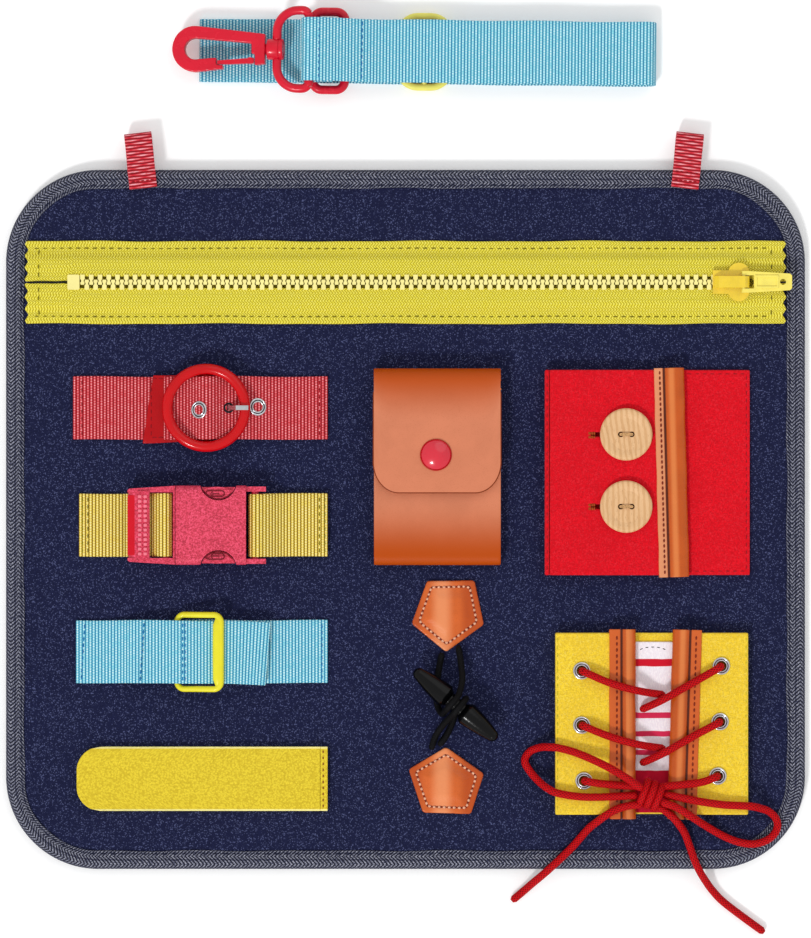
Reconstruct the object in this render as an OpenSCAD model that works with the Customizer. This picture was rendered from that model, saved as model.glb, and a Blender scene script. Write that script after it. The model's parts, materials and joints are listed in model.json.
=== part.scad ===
// Soft busy board: a felt board with fasteners to open, slide, lace and snap, and its carrying strap.
// The board lies on its back. X runs to the right, Y towards the hang loops, Z out of the front.
// The origin is the centre of the back face.

/* [Board] */
// Width of the board over the binding
board_w = 320; // [314:1:360]
// Height of the board over the binding
board_h = 280; // [278:1:320]
// Radius of the board's corners
corner_r = 37; // [20:1:45]
// Thickness of each felt sheet
felt_t = 2; // [1.6:0.1:3]
// Thickness of the stiffening board between the felts
core_t = 3; // [2:0.5:6]
// Width of the binding on each face
bind_w = 7.4; // [6.6:0.1:9]
// Thickness of the binding tape
bind_t = 0.8; // [0.6:0.1:1]

/* [Hang loops] */
// Width of the ribbon
ribbon_w = 11; // [8:0.5:14]
// Thickness of the ribbon
ribbon_t = 0.7; // [0.5:0.1:0.9]
// How far a hang loop reaches past the board's edge
loop_reach = 15; // [12:0.5:24]
// Length of the ribbon sewn down on the board
loop_sewn = 7.6; // [5:0.2:12]
// Distance of each hang loop from the board's middle
loop_x = 109; // [60:1:118]
// Lean of the hang loops, away from the middle
loop_lean = 6.6; // [0:0.2:10]

/* [Zip] */
// Height of the zip's centre line above the board's middle
zip_y = 94.8; // [90:0.2:98]
// Width over both tapes
zip_w = 33.4; // [32:0.2:38]
// Thickness of the tape
zip_tape_t = 0.9; // [0.6:0.1:1.1]
// Height of the tape above the felt at the teeth
zip_lift = 2.3; // [2.1:0.1:3]
// Spacing of the teeth along one tape
tooth_pitch = 3.5; // [3.4:0.1:5]
// Thickness of the teeth
tooth_t = 2; // [1.6:0.1:2.4]
// Length of the slider
slider_len = 15.6; // [15:0.2:17]
// Distance of the slider's left end from the board's middle when the zip is closed
slider_x = 122.6; // [100:0.2:123]
// Thickness of the slider's plates
slider_plate_t = 1.3; // [1:0.1:1.6]
// Length of the pull from its pin
pull_len = 19.2; // [14:0.2:26]

/* [Straps] */
// Width of the strap webbing
web_w = 25.4; // [22:0.2:26]
// Thickness of the strap webbing
web_t = 1.3; // [1:0.1:1.5]
// Right end of the straps, from the board's middle
strap_end = -31; // [-34:0.5:-28]

/* [Ring buckle] */
// Height of the ring buckle's strap above the board's middle
ring_y = 44.6; // [40:0.2:46]
// Left end of its strap
ring_strap_x = -133; // [-138:0.5:-126]
// Centre of the ring
ring_x = -79.5; // [-84:0.5:-76]
// Outer diameter of the ring
ring_d = 34.4; // [34:0.1:36]
// Thickness of the ring's section
ring_t = 3.4; // [2.8:0.1:3.6]
// Diameter of the ring's middle bar
ring_bar_d = 2.4; // [2:0.1:2.8]
// Thickness of the leather tab
tab_t = 1.1; // [0.8:0.1:1.3]
// Spacing of the strap's eyelets
eyelet_pitch = 11.5; // [11:0.1:12.5]
// Diameter of the prong's wire
prong_d = 1.7; // [1.4:0.1:1.9]

/* [Side release clip] */
// Height of the clip above the board's middle
clip_y = -2.2; // [-4:0.2:0]
// Left end of its strap
clip_strap_x = -130.6; // [-136:0.2:-126]
// Left face of the socket half
clip_x = -91.6; // [-94:0.2:-88]
// Width of the clip
clip_w = 31.6; // [31:0.2:34]
// Thickness of the socket half
clip_h = 9; // [8.6:0.1:10]
// Length of the socket half without its ears
socket_len = 28; // [27:0.2:32]
// Length of the plug half outside the socket
plug_len = 19.2; // [18:0.2:24]

/* [Slide buckle] */
// Height of the slide buckle's strap above the board's middle
slide_y = -52.8; // [-55:0.2:-50]
// Left end of its strap
slide_strap_x = -131.8; // [-136:0.2:-126]
// Centre of the buckle
slide_x = -82.4; // [-86:0.2:-80]
// Size of the buckle along the strap
slide_l = 20; // [17:0.5:22]
// Size of the buckle across the strap
slide_w = 32; // [31.5:0.1:36]
// Thickness of the buckle's bars
slide_bar_d = 2.4; // [2:0.1:2.6]
// How far the buckle slides each way
slide_travel = 12; // [6:1:14]

/* [Touch tape] */
// Height of the touch tape above the board's middle
touch_y = -103.6; // [-106:0.2:-98]
// Left end of the touch tape
touch_x = -131.5; // [-136:0.5:-120]
// Width of the touch tape
touch_w = 26; // [20:0.5:28]
// Thickness of each half of the touch tape
touch_t = 1.2; // [0.9:0.1:1.6]

/* [Pouch] */
// Left edge of the pouch
pouch_x = -12.6; // [-16:0.2:-8]
// Width of the pouch
pouch_w = 50.6; // [44:0.2:54]
// Top edge of the pouch
pouch_top = 60.3; // [58:0.1:61]
// Bottom edge of the pouch
pouch_bottom = -18.2; // [-20:0.2:-14]
// Thickness of the leather
leather_t = 1.3; // [1:0.1:1.6]
// Clear depth of the pocket
pocket_gap = 4.6; // [4.4:0.1:6]
// Bottom edge of the flap
flap_bottom = 10.9; // [4:0.1:14]
// Top edge of the pocket's front
pocket_top = 39.9; // [36:0.1:44]
// Diameter of the snap's cap
snap_d = 11.7; // [9:0.1:13]

/* [Toggle] */
// Centre of the toggle peg across the board
toggle_x = 20; // [18:0.5:22]
// Centre of the toggle peg above the board's middle
toggle_y = -73.7; // [-76:0.1:-72]
// Length of the peg
peg_len = 41.6; // [34:0.2:46]
// Diameter of the peg at its middle
peg_d = 10; // [8:0.2:11]
// Turn of the peg from the horizontal
peg_turn = -40; // [-60:1:-20]
// Diameter of the toggle's cords
toggle_cord_d = 2.6; // [2:0.1:3]

/* [Button panel] */
// Left edge of the button panel
button_x = 55.6; // [52:0.2:58]
// Top edge of the button panel
button_top = 59.8; // [57:0.2:61]
// Width of the button panel
button_w = 82; // [78:0.5:84]
// Height of the button panel
button_h = 82; // [76:0.5:84]
// Thickness of the felt of the panels
panel_t = 2; // [1.5:0.1:2.4]
// Diameter of the wooden buttons
button_d = 20.8; // [18:0.1:21]
// Thickness of the wooden buttons
button_t = 2.6; // [2:0.1:2.8]
// Distance of the buttons from the panel's left edge
button_in = 32.4; // [30:0.2:33]
// Spacing of the buttons
button_pitch = 28.8; // [24:0.2:32]

/* [Lacing panel] */
// Left edge of the lacing panel
lacing_x = 59.8; // [56:0.2:62]
// Top edge of the lacing panel
lacing_top = -45.2; // [-48:0.2:-42]
// Width of the lacing panel
lacing_w = 77; // [74:0.2:80]
// Height of the lacing panel
lacing_h = 72.6; // [70:0.2:76]
// Outer diameter of the eyelets
eyelet_d = 7.5; // [6.8:0.1:8.4]
// Diameter of the eyelets' holes
eyelet_hole = 4.2; // [4:0.1:4.8]
// Diameter of the lace
lace_d = 3.2; // [2.6:0.1:3.4]

/* [Carrying strap] */
// Distance of the carrying strap's centre line above the board's middle
carry_y = 187.2; // [186:0.2:200]
// Right end of the folded strap
carry_right = 100.6; // [90:0.2:120]
// Left end of the folded strap
carry_left = -83; // [-90:0.2:-76]
// Turn of the strap's front layer
carry_turn = 0.6; // [0:0.1:1]
// Thickness of the snap hook's body
hook_t = 5; // [4:0.1:5.4]
// Length of the snap hook from nose to swivel
hook_len = 38; // [36:0.5:42]
// Width of the snap hook
hook_w = 18.4; // [16:0.2:20]
// Size of the hook's eye across the strap
eye_w = 34.8; // [34:0.1:38]
// Thickness of the eye's bar
eye_d = 3.6; // [3:0.1:3.8]

/* [Hidden] */
$fn = 48;
// Clearance between soft pieces that lie on each other
gap = 0.3;
// Clearance between pieces that slide or turn on each other
run = 0.15;
// Height of the board's front face
face = 2 * felt_t + core_t;

// ---- Helpers ----

function unit(v) = v / norm(v);
function arc(c, r, a0, a1, n) = [for (i = [0:n]) c + r * [cos(a0 + (a1 - a0) * i / n), sin(a0 + (a1 - a0) * i / n)]];
function step_in(p, i) = unit(i > 0 ? p[i] - p[i - 1] : p[1] - p[0]);
function step_out(p, i) = unit(i < len(p) - 1 ? p[i + 1] - p[i] : p[i] - p[i - 1]);
function left_of(v) = [-v[1], v[0]];
// Offset of point i of a line to its left, which keeps the distance d through the corners
function mitre(p, i, d) = let (n = unit(left_of(step_in(p, i) + step_out(p, i)))) n * d / (n * left_of(step_in(p, i)));

// A band of thickness t along a line of [x, z] points, w wide along Y
module band(p, t, w) {
    last = len(p) - 1;
    upper = [for (i = [0:last]) p[i] + mitre(p, i, t / 2)];
    lower = [for (i = [last:-1:0]) p[i] - mitre(p, i, t / 2)];
    translate([0, w / 2, 0]) rotate([90, 0, 0]) linear_extrude(w) polygon(concat(upper, lower));
}

// A rectangle with round corners about the origin
module round_rect(w, h, r) {
    square([w - 2 * r, h], center = true);
    square([w, h - 2 * r], center = true);
    for (sx = [-1, 1], sy = [-1, 1]) translate([sx * (w / 2 - r), sy * (h / 2 - r)]) circle(r);
}

// A flat plate with round corners, its lower left corner at the origin
module plate(w, h, t, r) {
    translate([w / 2, h / 2, 0]) linear_extrude(t) round_rect(w, h, r);
}

// A flat outline raised t
module slab(p, t) {
    linear_extrude(t) polygon(p);
}

// A straight round bar along Y about the origin
module bar_y(d, l) {
    rotate([90, 0, 0]) cylinder(d = d, h = l, center = true);
}

// A round bar bent to a rectangle with round corners about the origin; r is the corner's centre line
module bar_frame(l, w, r, d) {
    for (s = [-1, 1]) {
        translate([0, s * (w - d) / 2, 0]) rotate([0, 90, 0]) cylinder(d = d, h = l - d - 2 * r, center = true);
        translate([s * (l - d) / 2, 0, 0]) bar_y(d, w - d - 2 * r);
    }
    for (i = [0:3]) {
        sx = (i == 0 || i == 3) ? 1 : -1;
        sy = i < 2 ? 1 : -1;
        translate([sx * ((l - d) / 2 - r), sy * ((w - d) / 2 - r), 0]) rotate([0, 0, 90 * i])
            rotate_extrude(angle = 90) translate([r, 0]) circle(d = d);
    }
}

function along(p, i) = unit(p[min(i + 1, len(p) - 1)] - p[max(i - 1, 0)]);
function ring_at(p, i, r, n) = let (t = along(p, i), s = unit(cross(t, [0, 0, 1])), u = cross(s, t))
    [for (k = [0:n - 1]) p[i] + r * (cos(360 * k / n) * s + sin(360 * k / n) * u)];

// A cord of radius r swept along its route
module cord(p, r) {
    n = 8;
    last = len(p) - 1;
    sides = [for (i = [0:last - 1], k = [0:n - 1]) let (a = i * n + k, b = i * n + (k + 1) % n)
        each [[a, a + n, b], [b, a + n, b + n]]];
    ends = [[for (k = [0:n - 1]) k], [for (k = [n - 1:-1:0]) last * n + k]];
    polyhedron(points = [for (i = [0:last]) each ring_at(p, i, r, n)], faces = concat(sides, ends));
}

// ---- Board ----

// How far the binding squeezes the felts at the edge, and where the sheets end inside it
edge_h = face + 0.2;
edge_r = edge_h / 2;
sheet_in = edge_r + 0.1;
squeeze_z = edge_h - bind_t;

module sheet(inset) {
    round_rect(board_w - 2 * inset, board_h - 2 * inset, corner_r - inset);
}

module back_felt() color([0.13, 0.16, 0.29]) {
    linear_extrude(felt_t) sheet(bind_w + gap);
    translate([0, 0, bind_t]) linear_extrude(felt_t - bind_t) sheet(sheet_in);
}

module board_core() color([0.85, 0.85, 0.82]) {
    translate([0, 0, felt_t]) linear_extrude(core_t) sheet(sheet_in);
}

module front_felt() color([0.13, 0.16, 0.29]) {
    translate([0, 0, face - felt_t]) linear_extrude(squeeze_z - face + felt_t) sheet(sheet_in);
    translate([0, 0, face - felt_t]) linear_extrude(felt_t) sheet(bind_w + gap);
}

// Section of the binding, from its inner edge at 0 outward: a tape folded round the board's edge
module binding_section() {
    difference() {
        union() {
            square([bind_w - edge_r, edge_h]);
            translate([bind_w - edge_r, edge_r]) circle(edge_r);
        }
        translate([-1, bind_t]) square([bind_w - edge_r + 1, edge_h - 2 * bind_t]);
        translate([bind_w - edge_r, edge_r]) circle(edge_r - bind_t);
    }
}

module binding_run(l) {
    translate([-l / 2, 0, 0]) rotate([90, 0, 90]) linear_extrude(l) binding_section();
}

module edge_binding() color([0.17, 0.2, 0.36]) {
    for (s = [0, 180]) {
        rotate([0, 0, s]) translate([0, board_h / 2 - bind_w, 0]) binding_run(board_w - 2 * corner_r);
        rotate([0, 0, s + 90]) translate([0, board_w / 2 - bind_w, 0]) binding_run(board_h - 2 * corner_r);
    }
    for (i = [0:3]) {
        sx = (i == 0 || i == 3) ? 1 : -1;
        sy = i < 2 ? 1 : -1;
        translate([sx * (board_w / 2 - corner_r), sy * (board_h / 2 - corner_r), 0]) rotate([0, 0, 90 * i])
            rotate_extrude(angle = 90, $fn = 96) translate([corner_r - bind_w, 0]) binding_section();
    }
}

// One ribbon: doubled where it is sewn over the binding, open past the board's edge
loop_r = 2.5;
loop_top = edge_h + gap;
module hang_loop() {
    tip = loop_reach - loop_r - ribbon_t;
    mid = loop_top - loop_r + ribbon_t;
    nose = arc([tip, mid], loop_r + ribbon_t / 2, 80, -90, 9);
    low = mid - loop_r - ribbon_t / 2;
    seam = [[3.2, low + 0.4], [1.6, loop_top - 1.6], [0.6, loop_top + ribbon_t / 2], [-loop_sewn, loop_top + ribbon_t / 2]];
    cover = loop_top + ribbon_t * 1.5 + 0.1;
    rotate([0, 0, 90]) band(concat([[-loop_sewn, cover], [2, cover]], nose, seam), ribbon_t, ribbon_w);
}

module hang_loops() color([0.84, 0.08, 0.17]) {
    for (s = [-1, 1]) translate([s * loop_x, board_h / 2, 0]) rotate([0, 0, -s * loop_lean]) hang_loop();
}

// ---- Zip ----

zip_l = board_w - 2 * bind_w - 2 * gap;
tape_z = face + zip_lift;
teeth_z = tape_z + zip_tape_t / 2 - tooth_t / 2;
// Half width of the row of teeth, where the tapes' edges lie
tooth_root = 3;
tooth_tip = 1;
// Half width of the flat strip of tape that the slider runs on
zip_flat = 8.3;
zip_slope = 4;
stop_x = slider_x - 257.6;
stop_l = 4.8;
slider_end = slider_x + slider_len;
pink_depth = 1.4;
pink_n = 14;

// Outline of both tapes, with pinked ends
module zip_plan() {
    w = zip_w;
    right = [for (i = [0:pink_n]) [zip_l / 2 - (i % 2) * pink_depth, -w / 2 + w * i / pink_n]];
    left = [for (i = [pink_n:-1:0]) [-zip_l / 2 + (i % 2) * pink_depth, -w / 2 + w * i / pink_n]];
    polygon(concat(right, left));
}

// The upper tape: sewn flat at its outer edge and raised at the teeth
module zip_tape() {
    under = [[gap / 2, zip_lift], [zip_flat, zip_lift], [zip_flat + zip_slope, 0], [zip_w / 2, 0]];
    over = [[zip_w / 2, zip_tape_t], [zip_flat + zip_slope + 0.4, zip_tape_t],
        [zip_flat + 0.4, zip_lift + zip_tape_t], [gap / 2, zip_lift + zip_tape_t]];
    difference() {
        intersection() {
            translate([-zip_l / 2, 0, 0]) rotate([90, 0, 90]) linear_extrude(zip_l) polygon(concat(under, over));
            translate([0, 0, -1]) linear_extrude(zip_lift + zip_tape_t + 2) zip_plan();
        }
        translate([stop_x, -1, zip_lift - 1])
            cube([slider_end + 1.5 - stop_x, tooth_root + 1, zip_tape_t + 2]);
    }
}

module zip_tape_upper() color([0.88, 0.82, 0.2]) {
    translate([0, zip_y, face]) zip_tape();
}

module zip_tape_lower() color([0.88, 0.82, 0.2]) {
    translate([0, zip_y, face]) mirror([0, 1, 0]) zip_tape();
}

// One tooth: a root that grips the tape, a neck and a head that reaches past the centre line
module tooth() {
    half = [[0.9, tooth_root], [0.9, 1.25], [0.5, 0.85], [0.5, 0.35], [0.85, -0.25], [0.7, -tooth_tip]];
    slab(concat(half, [for (i = [5:-1:0]) [-half[i][0], half[i][1]]]), tooth_t);
}

module zip_teeth() color([0.93, 0.87, 0.6]) {
    first = stop_x + stop_l + 1.2;
    count = floor((slider_x + slider_len * 0.4 - first) / tooth_pitch);
    translate([0, zip_y, teeth_z]) {
        for (i = [0:count - 1]) {
            translate([first + i * tooth_pitch, 0, 0]) tooth();
            translate([first + (i + 0.5) * tooth_pitch, 0, 0]) mirror([0, 1, 0]) tooth();
        }
        translate([stop_x, -tooth_root, 0]) plate(stop_l, 2 * tooth_root, tooth_t, 0.6);
    }
}

// Plan of the slider's plates: narrow over the closed teeth, with two wings at its mouth
wing_r = 4.3;
module slider_plan(inset) {
    l = slider_len;
    translate([inset, -4.7 + inset]) square([l * 0.72 - inset, 9.4 - 2 * inset]);
    translate([l - wing_r - 0.9, 0]) square([2 * wing_r - 2 * inset, 6.8], center = true);
    for (s = [-1, 1]) translate([l - wing_r - 0.9, s * 3.4]) circle(wing_r - inset);
}

slider_low = tape_z + zip_tape_t / 2 - tooth_t / 2 - run - slider_plate_t;
slider_up = tape_z + zip_tape_t / 2 + tooth_t / 2 + run;
slider_top = slider_up + slider_plate_t;
pin_d = 1.7;
pin_x = slider_end - 3.3;
pin_z = slider_top + pin_d / 2 + run;
crown_w = 4.6;

// Side walls of the slider between a plate and the tape
module slider_walls(z, t) {
    translate([0, 0, z]) linear_extrude(t) difference() {
        slider_plan(0);
        slider_plan(1.1);
        translate([-1, -3.6]) square([3, 7.2]);
        translate([slider_len - 4, -6.4]) square([6, 12.8]);
    }
}

// The arch that holds the pull's pin
module slider_crown() {
    end = slider_len - 0.8;
    top = slider_top + pin_d + 2 * run + 1.1;
    floor_z = slider_top - 0.4;
    outer = [[0.4, floor_z], [0.6, slider_top + 1], [2.2, top - 0.3], [4, top], [end - 2, top],
        [end - 0.4, top - 1.4], [end, floor_z]];
    translate([0, crown_w / 2, 0]) rotate([90, 0, 0]) linear_extrude(crown_w) difference() {
        polygon(outer);
        translate([4, slider_top]) square([end - 1.2 - 4, pin_d + 2 * run]);
    }
}

module zip_slider() color([0.95, 0.8, 0.12]) {
    wall = tooth_t / 2 - zip_tape_t / 2 - run;
    translate([slider_x, zip_y, 0]) {
        translate([0, 0, slider_low]) linear_extrude(slider_plate_t) slider_plan(0);
        translate([0, 0, slider_up]) linear_extrude(slider_plate_t) slider_plan(0);
        slider_walls(slider_low + slider_plate_t, wall);
        slider_walls(slider_up - wall, wall);
        translate([slider_len - 4.4, 0, slider_low + slider_plate_t / 2]) linear_extrude(slider_up - slider_low)
            polygon([[-2.2, 0], [0, 1.5], [2.6, 1.2], [2.6, -1.2], [0, -1.5]]);
        slider_crown();
    }
}

// The pull: two arms either side of the crown, a pin under its arch, and a framed handle
module zip_pull() color([0.93, 0.84, 0.25]) {
    arm_in = crown_w / 2 + 0.35;
    slot_l = slider_end - pin_x + 0.7;
    w0 = 8.6;
    w1 = 6.6;
    t = 1.9;
    translate([pin_x, zip_y, pin_z]) {
        translate([0, 0, -t / 2]) linear_extrude(t) difference() {
            polygon([[0, -w0 / 2], [2, -w0 / 2], [pull_len - 0.8, -w1 / 2], [pull_len, -w1 / 2 + 0.8],
                [pull_len, w1 / 2 - 0.8], [pull_len - 0.8, w1 / 2], [2, w0 / 2], [0, w0 / 2]]);
            translate([-1, -arm_in]) square([slot_l + 1, 2 * arm_in]);
            translate([pull_len - 3.6, 0]) circle(d = 2.4);
        }
        bar_y(pin_d, 2 * arm_in + 0.6);
        for (s = [-1, 1]) translate([0, s * (arm_in + w0 / 2) / 2, 0]) bar_y(t, w0 / 2 - arm_in);
        translate([0, 0, t / 2 - 0.3]) linear_extrude(0.8) difference() {
            translate([slot_l + 0.4, -2.6]) square([9.4, 5.2]);
            translate([slot_l + 1.2, -1.8]) square([7.8, 3.6]);
        }
    }
}

// ---- Ring buckle ----

web_z = face + web_t / 2;
// Heights in the ring buckle: bar, tab wrapped round it, strap over that, ring round the strap
tab_r = ring_bar_d / 2 + run;
bar_z = face + 2 * tab_t + tab_r - 0.3;
over_bar = tab_r + tab_t + run + web_t / 2;
ring_z = face + 2 * tab_t + web_t + 3 * gap + ring_t / 2;
rim_x = (ring_d - ring_t) / 2;
rim_under = ring_z - ring_t / 2 - gap - web_t / 2;
eyelet_x = ring_x - 2.6;
flange_d = 7.3;
flange_t = 0.6;
prong_hole = 4.4;

// Centre line of the eyelet strap: sewn at the right, up under the rim, flat over the bar, under the far rim
eyelet_route = [[strap_end, web_z], [ring_x + rim_x + 10, web_z], [ring_x + rim_x - 0.5, rim_under],
    [ring_x + 8, rim_under], [ring_x + 6.4, rim_under + 0.3], [ring_x + 1.2, bar_z + over_bar],
    [ring_x - 1.2, bar_z + over_bar], [ring_x - 6.4, rim_under + 0.3], [ring_x - 8, rim_under],
    [ring_x - rim_x - 1.4, rim_under]];
function route_z(x) = lookup(x, eyelet_route);
function route_slope(x) = atan(route_z(x + 0.5) - route_z(x - 0.5));

module at_eyelets() {
    for (i = [0:2]) {
        x = eyelet_x + i * eyelet_pitch;
        translate([x, ring_y, route_z(x)]) rotate([0, -route_slope(x), 0]) children();
    }
}

module ring_strap_left() color([0.84, 0.16, 0.22]) {
    translate([0, ring_y, 0]) band([[ring_strap_x, web_z], [ring_x - ring_d / 2, web_z]], web_t, web_w);
}

module ring_strap_right() color([0.84, 0.16, 0.22]) {
    difference() {
        translate([0, ring_y, 0]) band(eyelet_route, web_t, web_w);
        at_eyelets() cylinder(d = prong_hole + 1, h = 3 * web_t, center = true);
        at_eyelets() translate([0, 0, web_t / 2]) cylinder(d = flange_d + 0.2, h = 2);
    }
}

module ring_eyelets() color([0.75, 0.76, 0.78]) {
    at_eyelets() difference() {
        union() {
            translate([0, 0, web_t / 2]) cylinder(d = flange_d, h = flange_t);
            translate([0, 0, -web_t / 2]) cylinder(d = prong_hole + 0.9, h = web_t + flange_t);
        }
        cylinder(d = prong_hole, h = 3 * web_t, center = true);
    }
}

module ring_buckle() color([0.89, 0.09, 0.13]) {
    translate([ring_x, ring_y, ring_z]) rotate_extrude($fn = 96) translate([rim_x, 0]) circle(d = ring_t);
    translate([ring_x, ring_y, bar_z]) bar_y(ring_bar_d, 2 * rim_x);
    for (s = [-1, 1]) translate([ring_x, ring_y + s * rim_x, bar_z]) cylinder(d = ring_bar_d, h = ring_z - bar_z);
}

// Leather tab folded round the bar, slit at its middle for the prong
module ring_tab() color([0.72, 0.09, 0.13]) {
    r = tab_r + tab_t / 2;
    upper = face + web_t + 0.1 + tab_t / 2;
    route = concat([[ring_x - ring_d / 2 + 0.4, face + tab_t / 2], [ring_x - 4, face + tab_t / 2]],
        arc([ring_x, bar_z], r, -110, 130, 10), [[ring_x - 3.6, bar_z - 0.55], [ring_x - 6, upper], [ring_x - 23.4, upper]]);
    translate([0, ring_y, 0]) difference() {
        band(route, tab_t, web_w + 1);
        translate([ring_x - 3.4, -1.6, face - 1]) cube([8, 3.2, 10]);
    }
}

module ring_prong() color([0.75, 0.76, 0.78]) {
    eye = ring_bar_d / 2 + 0.05;
    tip_z = ring_z + ring_t / 2 + 0.1 + prong_d / 2;
    hole_x = eyelet_x + eyelet_pitch;
    hole_z = route_z(hole_x);
    route = [[ring_x + 0.4, bar_z - eye - 0.55], [ring_x + 2.4, bar_z - 0.9], [hole_x - 3.6, bar_z - 1.2],
        [hole_x - 1.6, hole_z - 1.65], [hole_x + 1.3, hole_z + 2.1], [ring_x + rim_x - 3.2, tip_z],
        [ring_x + rim_x + 1.4, tip_z]];
    translate([0, ring_y, 0]) difference() {
        union() {
            translate([ring_x, 0, bar_z]) bar_y(2 * eye + 2, 1.8);
            band(route, 1.5, 1.8);
        }
        translate([ring_x, 0, bar_z]) bar_y(2 * eye, 4);
    }
}

// ---- Side release clip ----

clip_low = face + 0.3;
clip_mid = clip_low + clip_h / 2;
socket_end = clip_x + socket_len;
ear_l = 7.9;
ear_t = 2;
mouth_w = clip_w - 6.4;
mouth_h = 5;
skin = 0.3;
window_r = 7.34;
window_x = clip_x + 17;
window_y = clip_w / 2 + 1.44;
clip_bar_d = 2.8;
socket_bar_x = socket_end + 3.6;
plug_bar_x = clip_x - 4;
plug_z = face + 2 * web_t + 0.4 + mouth_h / 2;

// A flat bar along X from the origin, with round long edges
module clip_bar(l, w, h, r) {
    rotate([90, 0, 90]) linear_extrude(l) round_rect(w, h, r);
}

module clip_window(r) {
    for (s = [-1, 1]) translate([window_x, s * window_y]) circle(r);
}

module clip_socket() color([0.87, 0.24, 0.33]) {
    translate([0, clip_y, clip_mid]) {
        difference() {
            translate([clip_x, 0, 0]) clip_bar(socket_len, clip_w, clip_h, 2.6);
            linear_extrude(2 * clip_h, center = true) clip_window(window_r);
            translate([clip_x - 1, -mouth_w / 2, -mouth_h / 2]) cube([socket_len - 2.4, mouth_w, mouth_h]);
        }
        for (s = [-1, 1]) translate([socket_end - 3, s * (clip_w / 2 - 0.4 - ear_t / 2) - ear_t / 2, -2.6])
            cube([ear_l + 3, ear_t, 5.2]);
        translate([socket_bar_x, 0, 0]) bar_y(clip_bar_d, clip_w - 3);
    }
}

// Plug half: two rails, two cross bars for the webbing, the loop's bar, the stop and the guide tongue
module clip_plug() color([0.87, 0.24, 0.33]) {
    l = clip_x - plug_len;
    w0 = clip_w / 2 - 1.2;
    rail_in = web_w / 2 + 0.4;
    top = clip_mid + 2.6;
    bars = plug_z + 0.1;
    translate([0, clip_y, 0]) {
        for (s = [0, 1]) mirror([0, s, 0]) translate([0, 0, clip_mid - 2.2]) linear_extrude(4.8)
            polygon([[l, rail_in], [l, w0 - 0.6], [l + 0.8, w0], [clip_x - skin, clip_w / 2 - 0.1], [clip_x - skin, rail_in]]);
        translate([l + 0.2, 0, bars]) rotate([90, 0, 0])
            linear_extrude(2 * rail_in + 1, center = true) polygon([[0, 0], [4.2, 0], [4.2, 2], [0.4, 1]]);
        translate([l + 4.2, 0, bars]) rotate([90, 0, 0]) linear_extrude(2 * rail_in + 1, center = true)
            polygon([[0, 0], [4.6, 0], [4.6, 2.4], [4, 2.9], [3.4, 2.5], [2.8, 2.9], [2.2, 2.5], [1.6, 2.9], [1, 2.5], [0.4, 2.9], [0, 2.4]]);
        translate([plug_bar_x, 0, clip_mid]) bar_y(clip_bar_d, 2 * rail_in + 1);
        translate([clip_x - 1.1, -rail_in - 0.5, clip_mid - 2.2]) cube([1.1 - skin, 2 * rail_in + 1, 4.8]);
        translate([clip_x - 1, -1.6, clip_mid - 1.2]) cube([socket_len - 7, 3.2, 2.4]);
    }
}

// A latch arm: a springy leg and the pad that fills the socket's window
module clip_arm() {
    pad_r = window_r - 0.35;
    leg = [[clip_x - 0.2, 7], [clip_x + 9, 8.2], [window_x - 4, 9.6], [window_x + 1, 9.8], [window_x + 1, 11.6],
        [window_x - 5, 11.7], [clip_x + 6, 10.6], [clip_x - 0.2, 10.2]];
    translate([0, 0, clip_mid]) {
        linear_extrude(3.4, center = true) polygon(leg);
        linear_extrude(mouth_h - 0.6, center = true) intersection() {
            translate([window_x, window_y]) circle(pad_r);
            translate([window_x - pad_r, 9]) square([2 * pad_r, clip_w / 2 - 9.6]);
        }
        linear_extrude(clip_h - 2, center = true) intersection() {
            translate([window_x, window_y]) circle(pad_r - 0.5);
            translate([window_x - 0.6, clip_w / 2 - 12.9]) circle(12.4);
        }
        linear_extrude(clip_h - 1, center = true) translate([window_x - 2.6, clip_w / 2 - 3.4]) plate_outline(6.4, 1.7);
    }
}

// A slot shape from the origin to the right
module plate_outline(l, w) {
    square([l, w]);
    translate([l, w / 2]) circle(w / 2);
    translate([0, w / 2]) circle(w / 2);
}

module clip_arm_upper() color([0.87, 0.24, 0.33]) {
    translate([0, clip_y, 0]) clip_arm();
}

module clip_arm_lower() color([0.87, 0.24, 0.33]) {
    translate([0, clip_y, 0]) mirror([0, 1, 0]) clip_arm();
}

module clip_strap_left() color([0.93, 0.78, 0.27]) {
    translate([0, clip_y, 0]) band([[clip_strap_x, web_z], [clip_x - 1, web_z]], web_t, web_w);
}

// Webbing looped round the plug's bar, both legs under the cross bars
module clip_strap_loop() color([0.93, 0.78, 0.27]) {
    t = 1.1;
    r = clip_bar_d / 2 + run + t / 2;
    low = face + web_t + 0.2 + t / 2;
    high = low + t + 0.1;
    left = clip_x - plug_len - 1.4;
    route = concat([[left, low], [plug_bar_x - 2, low], [plug_bar_x, clip_mid - r]],
        arc([plug_bar_x, clip_mid], r, -70, 90, 8),
        [[plug_bar_x - 2.4, clip_mid + r - 0.2], [plug_bar_x - 6, high + 0.3], [plug_bar_x - 7.4, high], [left, high]]);
    translate([0, clip_y, 0]) band(route, t, web_w);
}

module clip_strap_right() color([0.93, 0.78, 0.27]) {
    r = clip_bar_d / 2 + run + web_t / 2;
    route = concat([[strap_end - 8, web_z], [socket_bar_x + 7, web_z], [socket_bar_x + 2, clip_mid - r - 0.5]],
        arc([socket_bar_x, clip_mid], r, -100, -290, 9),
        [[socket_bar_x + 4, clip_mid + r - 1], [socket_bar_x + 10, web_z + web_t + 0.6],
        [socket_bar_x + 12, web_z + web_t + 0.1], [strap_end, web_z + web_t + 0.1]]);
    translate([0, clip_y, 0]) band(route, web_t, web_w);
}

// ---- Slide buckle ----

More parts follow.
